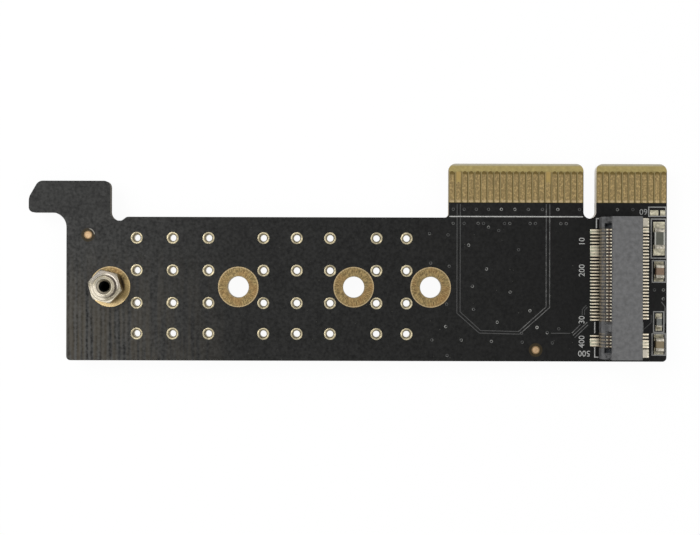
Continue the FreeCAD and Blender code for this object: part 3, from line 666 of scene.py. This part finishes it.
def turned_finish(name, colour, x, y):
    """Plated turned metal: grey with tool rings and random wear, with painted highlights and painted shade
    along some arcs, painted shade on its sides and painted black inside the bore.
    """
    shader = Shader(name)
    _, _, z = shader.xyz()
    _, _, up = shader.facing()
    reach, angle = shader.distance(x, y), shader.angle(x, y)
    wear = shader.noise(1.0, 4.0)
    fine = shader.noise(2.6)
    rings = (reach * 19.0).calc("SINE")
    # Arcs of painted highlight and painted shade round the axis.
    arcs = []
    for inner, outer, middle, spread, shade, share in TURNED_HIGHLIGHTS_AND_SHADE:
        band = reach.above(inner) * reach.below(outer)
        arcs.append((angle.within(middle, spread, 0.25) * band * share, shade))
    # Painted shade on the side faces.
    side = (1 - (up * up).above(0.25, 0.2)) * reach.above(1.9)
    # Painted black shade inside the bore.
    hole = reach.below(0.86, 0.04) * z.below(BOARD_TOP / MM + 2.9, 0.2)
    tint = shader.layers(
        shader.tones(wear.above(0.5, 0.3), colour, 0.72, 1.25),
        (rings.above(0.2, 0.8) * 0.3, scaled(colour, 0.45)),
        (fine.above(0.58, 0.12) * 0.35, scaled(colour, 0.5)),
        *arcs,
        (side * 0.8, (0.09, 0.065, 0.04)),
        (hole, (0.004, 0.004, 0.004)),
    )
    height = rings * 0.15 + fine * 0.5 + wear * 0.5
    return shader.finish(tint, 0.3 + (fine - 0.5) * 0.2, 0.95, shader.bump(height, 0.012, 0.6))


def chip_finish(name, colour, x, glaze=None):
    """Ceramic chip body; a glaze, where there is one, covers the middle of the top."""
    shader = Shader(name)
    grain = shader.noise(2.4, 4.0)
    tint = shader.tones(grain, colour, 0.6, 1.4)
    if glaze is not None:
        px, _, _ = shader.xyz()
        _, _, up = shader.facing()
        cover = up.above(0.5) * (px - x / MM).calc("ABSOLUTE").below(0.6, 0.06)
        tint = shader.mix(cover, tint, shader.tones(grain, glaze, 0.6, 1.4))
    return shader.finish(tint, 0.4, 0.0, shader.bump(grain, 0.02, 0.4))


def print_finish(ink):
    """Printed ink: thin and uneven, and darker behind the socket."""
    shader = Shader("print_white")
    x, _, _ = shader.xyz()
    cover = shader.noise(5.0, 4.0)
    tint = shader.tones(cover.above(0.42, 0.3), ink, 0.35, 1.0)
    tint = shader.mix(x.above(SOCKET_REAR / MM + 0.3) * 0.55, tint, scaled(ink, 0.2))
    return shader.finish(tint, 0.6, 0.0, shader.bump(cover, 0.01, 0.4))


def covered_finish(name, coating, shown, glint):
    """Coating over copper: as black as the board, and lighter where it is thin enough to show it."""
    shader = Shader(name)
    thin = shader.noise(3.0, 4.0)
    patches = shader.noise(1.1, 2.0)
    tint = shader.layers(
        scaled(coating, 1.1 + shown),
        (thin.above(0.5, 0.4) * shown, (0.075, 0.075, 0.071)),
        (patches.above(0.55, 0.15) * glint * shown, (0.30, 0.30, 0.28)),
        (patches.below(0.47) * 0.8, scaled(coating, 1.3)),
    )
    return shader.finish(tint, 0.6 - shown * 0.26, 0.0, shader.bump(thin, 0.01, 0.4))


# Modelling by hand

def deselect():
    bpy.ops.object.select_all(action="DESELECT")


def activate(piece):
    """Selects one piece alone."""
    deselect()
    piece.select_set(True)
    bpy.context.view_layer.objects.active = piece


def settle():
    """Puts the active piece's place, turn and size into its mesh."""
    bpy.ops.object.transform_apply(location=True, rotation=True, scale=True)
    return bpy.context.object


def add_block(low, high):
    """Box between two corners."""
    deselect()
    low, high = Vector(low), Vector(high)
    bpy.ops.mesh.primitive_cube_add(size=1, location=(low + high) / 2)
    bpy.context.object.scale = high - low
    return settle()


def round_edges(piece, size, segments, test, profile=0.5):
    """Bevels the edges whose middle and direction pass a test."""
    activate(piece)
    bpy.ops.object.mode_set(mode="EDIT")
    bpy.ops.mesh.select_mode(type="EDGE")
    bpy.ops.mesh.select_all(action="DESELECT")
    bpy.ops.object.mode_set(mode="OBJECT")
    mesh = piece.data
    for edge in mesh.edges:
        start, end = (mesh.vertices[i].co for i in edge.vertices)
        edge.select = test((start + end) / 2, (end - start).normalized())
    bpy.ops.object.mode_set(mode="EDIT")
    bpy.ops.mesh.bevel(offset=size, segments=segments, profile=profile, affect="EDGES", clamp_overlap=True)
    bpy.ops.object.mode_set(mode="OBJECT")
    return piece


def everywhere(middle, direction):
    return True


def turned(profile, x, y, steps):
    """Turned shape about an upright axis: a circle carried through (radius, z) points to its start."""
    deselect()
    radius, z = profile[0]
    bpy.ops.mesh.primitive_circle_add(vertices=steps, radius=radius, location=(x, y, z))
    piece = settle()
    bpy.ops.object.mode_set(mode="EDIT")
    bpy.ops.mesh.select_all(action="SELECT")
    for (r0, z0), (r1, z1) in zip(profile, profile[1:]):
        bpy.ops.mesh.extrude_edges_move(TRANSFORM_OT_translate={"value": (0, 0, z1 - z0)})
        if r1 != r0:
            bpy.ops.transform.resize(value=(r1 / r0, r1 / r0, 1), center_override=(x, y, z1))
    bpy.ops.mesh.select_all(action="SELECT")
    bpy.ops.mesh.remove_doubles(threshold=CLOSE / 2)
    bpy.ops.mesh.select_all(action="SELECT")
    bpy.ops.mesh.normals_make_consistent(inside=False)
    bpy.ops.object.mode_set(mode="OBJECT")
    return piece


def copies(model, offsets):
    """Copies of a model, each moved by an offset; the model itself is used up."""
    made = []
    for offset in offsets:
        copy = model.copy()
        copy.data = model.data.copy()
        copy.data.transform(Matrix.Translation(Vector(offset)))
        bpy.context.collection.objects.link(copy)
        made.append(copy)
    bpy.data.objects.remove(model)
    return made


def joined(pieces):
    """One piece of several."""
    activate(pieces[0])
    for piece in pieces:
        piece.select_set(True)
    bpy.ops.object.join()
    return pieces[0]


def complete(piece, name, material, smooth=40.0):
    """Names a piece, gives it its finish and lets it ride on the card."""
    piece.name = name
    piece.data.name = name
    piece.data.materials.clear()
    piece.data.materials.append(material)
    activate(piece)
    if smooth:
        bpy.ops.object.shade_smooth_by_angle(angle=math.radians(smooth))
        weighted = piece.modifiers.new("weighted", "WEIGHTED_NORMAL")
        weighted.keep_sharp = True
        bpy.ops.object.modifier_apply(modifier=weighted.name)
    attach(piece, BODY)
    return piece


def tubes(paths, radius, resolution):
    """Lines of round section through points, as one mesh."""
    deselect()
    curve = bpy.data.curves.new("line", "CURVE")
    curve.dimensions = "3D"
    curve.bevel_depth = radius
    curve.bevel_resolution = resolution
    curve.use_fill_caps = True
    for path in paths:
        spline = curve.splines.new("POLY")
        spline.points.add(len(path) - 1)
        for point, place in zip(spline.points, path):
            point.co = (*place, 1.0)
    piece = bpy.data.objects.new("line", curve)
    bpy.context.collection.objects.link(piece)
    activate(piece)
    bpy.ops.object.convert(target="MESH")
    return bpy.context.object


def dress(node, material):
    """Gives a CAD node its finish."""
    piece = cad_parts[node]
    piece.data.materials.clear()
    piece.data.materials.append(material)


def settings():
    return bpy.context.scene.adapter_card


# Operators

class CARD_OT_board(bpy.types.Operator):
    """Finish the board, the marks and the printed lines"""

    bl_idname = "adapter_card.board"
    bl_label = "Board"

    def execute(self, context):
        colours = settings().finish
        dress("circuit_board", coating_finish(colours))
        dress("alignment_marks", mark_finish())
        dress("printed_lines", print_finish(colours.print_ink))
        return {"FINISHED"}


class CARD_OT_contacts(bpy.types.Operator):
    """Model the contact fingers of both faces"""

    bl_idname = "adapter_card.contacts"
    bl_label = "Contact fingers"

    width = 0.7 * MM
    long_tab = 21
    short_tab = 11
    inner_radius = 0.2 * MM
    outer_radius = 0.34 * MM
    end_segments = 5
    edge_radius = 0.02 * MM
    edge_segments = 2

    def finger(self, low_y, high_y, low_z, high_z, face):
        """One finger with rounded ends and eased edges on its outer face."""
        half = self.width / 2
        piece = add_block((-half, low_y, low_z), (half, high_y, high_z))
        for radius, end_y in ((self.inner_radius, low_y), (self.outer_radius, high_y)):
            round_edges(piece, radius, self.end_segments,
                        lambda middle, along: abs(along.z) > 0.9 and abs(middle.y - end_y) < CLOSE)
        return round_edges(piece, self.edge_radius, self.edge_segments,
                           lambda middle, along: abs(middle.z - face) < CLOSE)

    def row(self, node, short, upwards):
        """All fingers of one face."""
        low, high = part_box(node)
        face = high.z if upwards else low.z
        places = [(-(FIRST_FINGER + i * FINGER_PITCH), i in short[0]) for i in range(self.long_tab)]
        places += [(FIRST_FINGER + i * FINGER_PITCH, i in short[1]) for i in range(self.short_tab)]
        made = []
        for cut, loss in ((False, 0), (True, SHORT_BY)):
            model = self.finger(low.y, high.y - loss, low.z, high.z, face)
            made += copies(model, [(KEY_X + x, 0, 0) for x, is_short in places if is_short == cut])
        return joined(made)

    def execute(self, context):
        finish = gold_finish(settings().finish.gold)
        for side, short in SHORT_FINGERS.items():
            node = "edge_contacts_" + side
            row = self.row(node, short, side == "front")
            piece = complete(row, "fingers_" + side, finish)
            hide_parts(node)
        return {"FINISHED"}


class CARD_OT_plated_holes(bpy.types.Operator):
    """Model the rings and barrels of the small plated holes, and the coating's collars round them"""

    bl_idname = "adapter_card.plated_holes"
    bl_label = "Small plated holes"

    rows = (7.62, 2.56, -2.52, -7.31)
    columns = (3, 3, 2)
    pitches = (5.6, 5.2, 4.7)
    shifts = (-0.23, 0.12, -0.1)
    height = 0.04 * MM
    ease = 0.04 * MM
    funnel = 0.2 * MM
    sunk = 0.45 * MM
    foot_inset = 0.06 * MM
    foot_depth = 0.02 * MM
    collar_radius = 0.99 * MM
    collar_overlap = 0.03 * MM
    collar_height = 0.008 * MM
    plating = (0.38, 0.33, 0.215)

    def places(self):
        """Middles of the holes, in bays between the fixing holes."""
        found = []
        middles = [middle_of(f"fixing_pad_{length}").x for length in MODULE_LENGTHS]
        bays = zip(middles, middles[1:], self.columns, self.pitches, self.shifts)
        for far, near, count, pitch, shift in bays:
            for i in range(count):
                x = (far + near) / 2 + (shift + (i - (count - 1) / 2) * pitch) * MM
                found += [(x, CENTRE_Y + y * MM, 0) for y in self.rows]
        return found

    def ring(self, outer, bore, steps):
        """Lining of a hole that opens into a funnel under an eased ring."""
        ease, funnel, sunk = self.ease, self.funnel, self.sunk
        top = BOARD_TOP + self.height
        foot = outer - self.foot_inset
        return turned([
            (bore, UNDERSIDE + ease), (bore, top - sunk), (bore + funnel * 0.3, top - sunk * 0.5),
            (bore + funnel * 0.75, top - sunk * 0.15), (bore + funnel, top - ease * 0.3),
            (bore + funnel + ease, top), (outer - ease, top), (outer - ease * 0.3, top - ease * 0.3),
            (outer, BOARD_TOP), (foot, BOARD_TOP - self.foot_depth), (foot, UNDERSIDE),
            (bore + ease, UNDERSIDE), (bore, UNDERSIDE + ease),
        ], 0, 0, steps)

    def collar(self, inner, outer, steps):
        """Round edge of the coating about a ring."""
        lip = BOARD_TOP + self.collar_height
        return turned([
            (inner, UNDERSIDE), (inner, lip), (outer, lip), (outer, UNDERSIDE), (inner, UNDERSIDE),
        ], 0, 0, steps)

    def execute(self, context):
        copper = settings().copper
        places = self.places()
        rings = joined(copies(self.ring(copper.ring_radius, copper.ring_bore, copper.ring_steps), places))
        complete(rings, "plated_rings", tin_finish("ring_plating", self.plating, 0.42, 0.8))
        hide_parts("plated_holes")
        inner = copper.ring_radius - self.collar_overlap
        collar = self.collar(inner, self.collar_radius, copper.ring_steps)
        complete(joined(copies(collar, places)), "coating_collars",
                 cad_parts["circuit_board"].data.materials[0])
        return {"FINISHED"}


class CARD_OT_fixing_pads(bpy.types.Operator):
    """Model the round pads and linings of the fixing holes"""

    bl_idname = "adapter_card.fixing_pads"
    bl_label = "Fixing pads"

    lining = 0.1 * MM
    back_height = 0.02 * MM
    ease = 0.03 * MM
    steps = 96

    def execute(self, context):
        gold = settings().finish.gold
        ease, hole = self.ease, FIXING_HOLE_RADIUS
        bore = hole - self.lining
        back = UNDERSIDE - self.back_height
        for length in MODULE_LENGTHS:
            node = f"fixing_pad_{length}"
            low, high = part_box(node)
            x, y, _ = middle_of(node)
            outer = (high.x - low.x) / 2
            piece = turned([
                (bore, back + ease), (bore, high.z - ease), (bore + ease, high.z), (outer - ease, high.z),
                (outer, high.z - ease), (outer, low.z), (hole, low.z), (hole, UNDERSIDE), (outer, UNDERSIDE),
                (outer - ease, back), (bore + ease, back), (bore, back + ease),
            ], x, y, self.steps)
            finish = pad_finish(gold, x, y, standoff_shading=length == MODULE_LENGTHS[0])
            complete(piece, f"pad_ring_{length}", finish)
            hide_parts(node)
        return {"FINISHED"}


class CARD_OT_covered_copper(bpy.types.Operator):
    """Model the traces and vias that show through the coating"""

    bl_idname = "adapter_card.covered_copper"
    bl_label = "Covered traces and vias"

    trace_glint = 0.15
    via_glint = 0.9
    via_steps = 18
    # Shares of a via's radius, and heights in millimetres above the board
    via_profile = ((1, -0.01), (0.88, 0.02), (0.58, 0.02), (0.46, -0.01), (1, -0.01))

    def execute(self, context):
        copper = settings().copper
        coating = settings().finish.coating
        for strength, routes in TRACES.items():
            paths = [[(*on_card(x, y), 0) for x, y in route] for route in routes]
            traces = tubes(paths, copper.trace_width / 2, 1)
            raised = copper.trace_height * (0.35 + SHOWN[strength] * 0.65)
            traces.scale = (1, 1, raised / copper.trace_width)
            traces.location = (0, 0, BOARD_TOP)
            activate(traces)
            finish = covered_finish("trace_" + strength, coating, SHOWN[strength], self.trace_glint)
            complete(settle(), "traces_" + strength, finish)

        radius = copper.via_radius
        profile = [(radius * share, BOARD_TOP + height * MM) for share, height in self.via_profile]
        pairs = [(x + side * PAIR_HALF, PAIR_ROW_Y) for x in PAIR_PLACES for side in (-1, 1)]
        for strength, middles in VIAS.items():
            middles = [(x, TAB_ROW_Y) for x in TAB_VIAS[strength]] + list(middles)
            if strength == "faint":
                middles += pairs
            places = [(*on_card(x, y), 0) for x, y in middles]
            piece = joined(copies(turned(profile, 0, 0, self.via_steps), places))
            finish = covered_finish("via_" + strength, coating, SHOWN[strength], self.via_glint)
            complete(piece, "vias_" + strength, finish)
        return {"FINISHED"}


class CARD_OT_socket(bpy.types.Operator):
    """Finish the module socket and model its solder"""

    bl_idname = "adapter_card.socket"
    bl_label = "Module socket"

    front_runs = ((2, 4), (12, 18), (70, 74))
    rear_runs = ((1, 3), (71, 75))
    pool_height = 0.16 * MM
    pool_ease = 0.07 * MM
    pool_segments = 3

    def solder(self, row, runs, low_x, high_x):
        """Solder of one row: a low eased block over each run of joined pads and each loose pad."""
        half = settings().solder.pad_width / 2
        top = BOARD_TOP + self.pool_height
        loose = [(n, n) for n in row if not any(first <= n <= last for first, last in runs)]
        made = []
        for first, last in (*runs, *loose):
            block = add_block((low_x, pin_place(last) - half, BOARD_TOP),
                              (high_x, pin_place(first) + half, top))
            made.append(round_edges(block, self.pool_ease, self.pool_segments,
                                    lambda middle, along: middle.z > top - CLOSE))
        return joined(made)

    def execute(self, context):
        colours = settings().finish
        solder = settings().solder
        dress("socket_housing", plastic_finish(colours.plastic))
        dress("socket_lower_contacts", strip_finish("front_strip", colours.strip, mouth=True))
        dress("socket_upper_contacts", strip_finish("rear_strip", colours.strip))
        tab = strip_finish("tinned_tab", scaled(colours.solder, 0.62))
        for node in ("socket_hold_down_upper", "socket_hold_down_lower"):
            dress(node, tab)
        tin = tin_finish("solder", colours.solder, shaded_between_leads=True)
        front = self.solder(pins(2), self.front_runs, SOCKET_FRONT - solder.front_reach, SOCKET_FRONT)
        complete(front, "front_solder", tin)
        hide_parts("socket_front_pads")
        rear = self.solder(pins(1), self.rear_runs, SOCKET_REAR, SOCKET_REAR + solder.rear_reach)
        complete(rear, "rear_solder", tin)
        dress("socket_rear_pads", tin)
        return {"FINISHED"}


class CARD_OT_standoff(bpy.types.Operator):
    """Finish the standoff and its nut, and model their threads"""

    bl_idname = "adapter_card.standoff"
    bl_label = "Standoff and nut"

    steps = 24
    screw = {"radius": 0.8 * MM, "pitch": 0.4 * MM, "depth": 0.09 * MM}
    screw_start = 3.6 * MM
    screw_end = 0.45 * MM
    stud = {"radius": 1.18 * MM, "pitch": 0.12 * MM, "depth": 0.06 * MM}
    stud_start = 0.1 * MM
    stud_end = 0.05 * MM

    def thread(self, x, y, low, high, radius, pitch, depth):
        """Helical ridge between two heights."""
        path = []
        for i in range(int((high - low) / pitch * self.steps) + 1):
            angle = 2 * math.pi * i / self.steps
            rise = pitch * i / self.steps
            path.append((x + radius * math.cos(angle), y + radius * math.sin(angle), low + rise))
        return tubes([path], depth, 0)

    def execute(self, context):
        colours = settings().finish
        x, y, _ = middle_of("standoff_nut")
        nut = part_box("standoff_nut")[0].z
        bottom, top = (corner.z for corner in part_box("standoff"))
        metal = turned_finish("nickel", colours.nickel, x, y)
        dress("standoff", metal)
        dress("standoff_nut", turned_finish("nut_steel", scaled(colours.nickel, 0.9), x, y))
        screw = self.thread(x, y, top - self.screw_start, top - self.screw_end, **self.screw)
        complete(screw, "screw_thread", metal)
        stud = self.thread(x, y, bottom + self.stud_start, nut - self.stud_end, **self.stud)
        complete(stud, "stud_thread", metal)
        return {"FINISHED"}


class CARD_OT_chips(bpy.types.Operator):
    """Model the end caps and the solder of the chips, and finish the chips"""

    bl_idname = "adapter_card.chips"
    bl_label = "Chips"

    cap_radius = 0.07 * MM
    cap_segments = 3
    pad_thickness = 0.035 * MM
    pad_margin = 0.06 * MM
    solder_margin = 0.03 * MM
    solder_climb = 0.7
    solder_reach = {"link": 0.95 * MM, "upper_capacitor": 0.48 * MM, "resistor": 0.46 * MM,
                    "lower_capacitor": 0.48 * MM}
    hollow = 0.22
    hollow_size = 0.97
    hollow_segments = 8
    glazes = {"link": (0.048, 0.050, 0.034), "resistor": (0.10, 0.105, 0.095)}
    ceramics = {"upper_capacitor": (0.14, 0.085, 0.048), "lower_capacitor": (0.14, 0.105, 0.050)}
    pale = (0.42, 0.42, 0.38)
    tinned = (0.435, 0.405, 0.30)

    def ends(self, node):
        """Side of the card and box of each of the two end caps of a node."""
        corners = [vertex.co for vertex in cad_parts[node].data.vertices]
        middle = middle_of(node).y
        for side in (-1, 1):
            near = [corner for corner in corners if (corner.y - middle) * side > 0]
            yield side, Vector(map(min, zip(*near))), Vector(map(max, zip(*near)))

    def fillet(self, side, low, high, reach):
        """Solder that sinks from an end cap to its pad in a hollow curve."""
        piece = add_block((-0.5, 0, 0), (0.5, 1, 1))
        round_edges(piece, self.hollow_size, self.hollow_segments,
                    lambda middle, along: middle.y > 0.9 and middle.z > 0.9, self.hollow)
        width = high.x - low.x + 2 * self.solder_margin
        piece.scale = (width, reach, (high.z - BOARD_TOP) * self.solder_climb)
        piece.rotation_euler = (0, 0, 0 if side > 0 else math.pi)
        piece.location = ((low.x + high.x) / 2, high.y if side > 0 else low.y, BOARD_TOP)
        activate(piece)
        return settle()

    def pad(self, side, low, high, reach):
        """Tinned pad under an end cap and its solder."""
        near, far = (low.y, high.y) if side > 0 else (high.y, low.y)
        far += side * (reach + self.pad_margin)
        margin = self.pad_margin + self.solder_margin
        return add_block((low.x - margin, min(near, far), BOARD_TOP),
                         (high.x + margin, max(near, far), BOARD_TOP + self.pad_thickness))

    def execute(self, context):
        colours = settings().finish
        tab = tin_finish("chip_tin", scaled(colours.solder, 0.55), 0.34)
        x = middle_of("link_body").x
        solder = []
        for name, reach in self.solder_reach.items():
            colour = self.ceramics.get(name, self.pale)
            dress(name + "_body", chip_finish(name + "_ceramic", colour, x, self.glazes.get(name)))
            caps = []
            for side, low, high in self.ends(name + "_terminals"):
                cap = add_block(low, high)
                caps.append(round_edges(cap, self.cap_radius, self.cap_segments, everywhere))
                solder.append(self.fillet(side, low, high, reach))
                solder.append(self.pad(side, low, high, reach))
            piece = complete(joined(caps), name + "_caps", tab)
            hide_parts(name + "_terminals")
        tin = tin_finish("chip_solder_tin", self.tinned, 0.34, 0.5)
        piece = complete(joined(solder), "chip_fillets", tin)
        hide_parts("chip_solder")
        dress("spare_pads", tin)
        return {"FINISHED"}


class CARD_OT_print(bpy.types.Operator):
    """Print plain numbers where the card has its markings"""

    bl_idname = "adapter_card.print"
    bl_label = "Printed numbers"

    size = 1.3 * MM
    thickness = 0.012 * MM
    curve_steps = 3

    def execute(self, context):
        finish = print_finish(settings().finish.print_ink)
        made = []
        for text, x, y, turn in PRINTED_NUMBERS:
            deselect()
            place = (*on_card(x, y), BOARD_TOP)
            bpy.ops.object.text_add(location=place, rotation=(0, 0, math.radians(turn)))
            number = bpy.context.object.data
            number.body = text
            number.size = self.size
            number.align_x = "CENTER"
            number.align_y = "CENTER"
            number.extrude = self.thickness
            number.resolution_u = self.curve_steps
            bpy.ops.object.convert(target="MESH")
            made.append(settle())
        complete(joined(made), "printed_numbers", finish, smooth=0)
        return {"FINISHED"}


class CARD_OT_stage(bpy.types.Operator):
    """Set up the floor, the lamps, the sky and the camera"""

    bl_idname = "adapter_card.stage"
    bl_label = "Stage"

    floor_size = 6.0
    floor_colour = (0.9, 0.9, 0.9)
    key_size = 0.35
    key_place = (-0.28, 0.16, 0.42)
    fill_size = 0.5
    fill_place = (0.35, -0.2, 0.5)
    sensor_width = 36.0
    clip_start = 0.01

    def floor(self, stage):
        """White floor that shows a little of the card's shadow."""
        deselect()
        bpy.ops.mesh.primitive_plane_add(size=self.floor_size, location=(0, 0, 0))
        floor = bpy.context.object
        floor.name = "floor"
        shader = Shader("floor_white")
        floor.data.materials.append(shader.finish(self.floor_colour, 0.9, specular=0.1))
        paint = Value(shader, shader.surface.outputs[0])
        glow = shader.node("ShaderNodeEmission", {}, {})
        cover = shader.seen() * (1 - stage.floor_shadow)
        blend = shader.node("ShaderNodeMixShader", {}, {0: cover, 1: paint, 2: glow})
        shader.put(shader.tree.nodes["Material Output"].inputs["Surface"], blend)

    def lamp(self, name, power, size, place):
        """Square lamp that looks at the card."""
        data = bpy.data.lights.new(name, "AREA")
        data.energy = power
        data.size = size
        lamp = bpy.data.objects.new(name, data)
        lamp.location = place
        lamp.rotation_euler = (-Vector(place)).to_track_quat("-Z", "Y").to_euler()
        bpy.context.collection.objects.link(lamp)

    def sky(self, strength):
        """White to the camera and in reflections, and a soft grey light for the rest."""
        world = bpy.data.worlds.new("sky")
        bpy.context.scene.world = world
        world.use_nodes = True
        nodes = Nodes(world.node_tree)
        back = world.node_tree.nodes["Background"]
        nodes.put(back.inputs["Color"], (1, 1, 1))
        nodes.put(back.inputs["Strength"], nodes.seen() * (1 - strength) + strength)

    def camera(self, stage):
        """Camera straight above the card, as in the photograph."""
        data = bpy.data.cameras.new("camera")
        data.lens = stage.lens
        data.sensor_width = self.sensor_width
        data.clip_start = self.clip_start
        camera = bpy.data.objects.new("camera", data)
        camera.location = (*on_card(*CAMERA_PLACE), BOARD_TOP + stage.camera_height)
        camera.rotation_euler = (0, 0, stage.roll)
        bpy.context.collection.objects.link(camera)
        bpy.context.scene.camera = camera

    def execute(self, context):
        stage = settings().stage
        self.floor(stage)
        self.lamp("key", stage.key_power, self.key_size, self.key_place)
        self.lamp("fill", stage.fill_power, self.fill_size, self.fill_place)
        self.sky(stage.sky)
        self.camera(stage)
        context.scene.view_settings.view_transform = "Standard"
        return {"FINISHED"}


OPERATORS = (
    CARD_OT_board, CARD_OT_contacts, CARD_OT_plated_holes, CARD_OT_fixing_pads, CARD_OT_covered_copper,
    CARD_OT_socket, CARD_OT_standoff, CARD_OT_chips, CARD_OT_print, CARD_OT_stage,
)


class CARD_PT_panel(bpy.types.Panel):
    """Lists the steps that dress the card"""

    bl_idname = "CARD_PT_panel"
    bl_label = "Adapter Card"
    bl_space_type = "VIEW_3D"
    bl_region_type = "UI"
    bl_category = "Adapter Card"

    def draw(self, context):
        for operator in OPERATORS:
            self.layout.operator(operator.bl_idname)
        for group in ("copper", "solder", "finish", "stage"):
            values = getattr(settings(), group)
            for name in values.__annotations__:
                self.layout.prop(values, name)


CLASSES = (
    CopperSettings, SolderSettings, FinishSettings, StageSettings, CardSettings, *OPERATORS, CARD_PT_panel,
)


def register():
    for cls in CLASSES:
        bpy.utils.register_class(cls)
    bpy.types.Scene.adapter_card = PointerProperty(type=CardSettings)


def unregister():
    del bpy.types.Scene.adapter_card
    for cls in reversed(CLASSES):
        bpy.utils.unregister_class(cls)


def main():
    """Dresses the card step by step."""
    register()
    for operator in OPERATORS:
        family, name = operator.bl_idname.split(".")
        getattr(getattr(bpy.ops, family), name)()


if __name__ == "__main__":
    main()
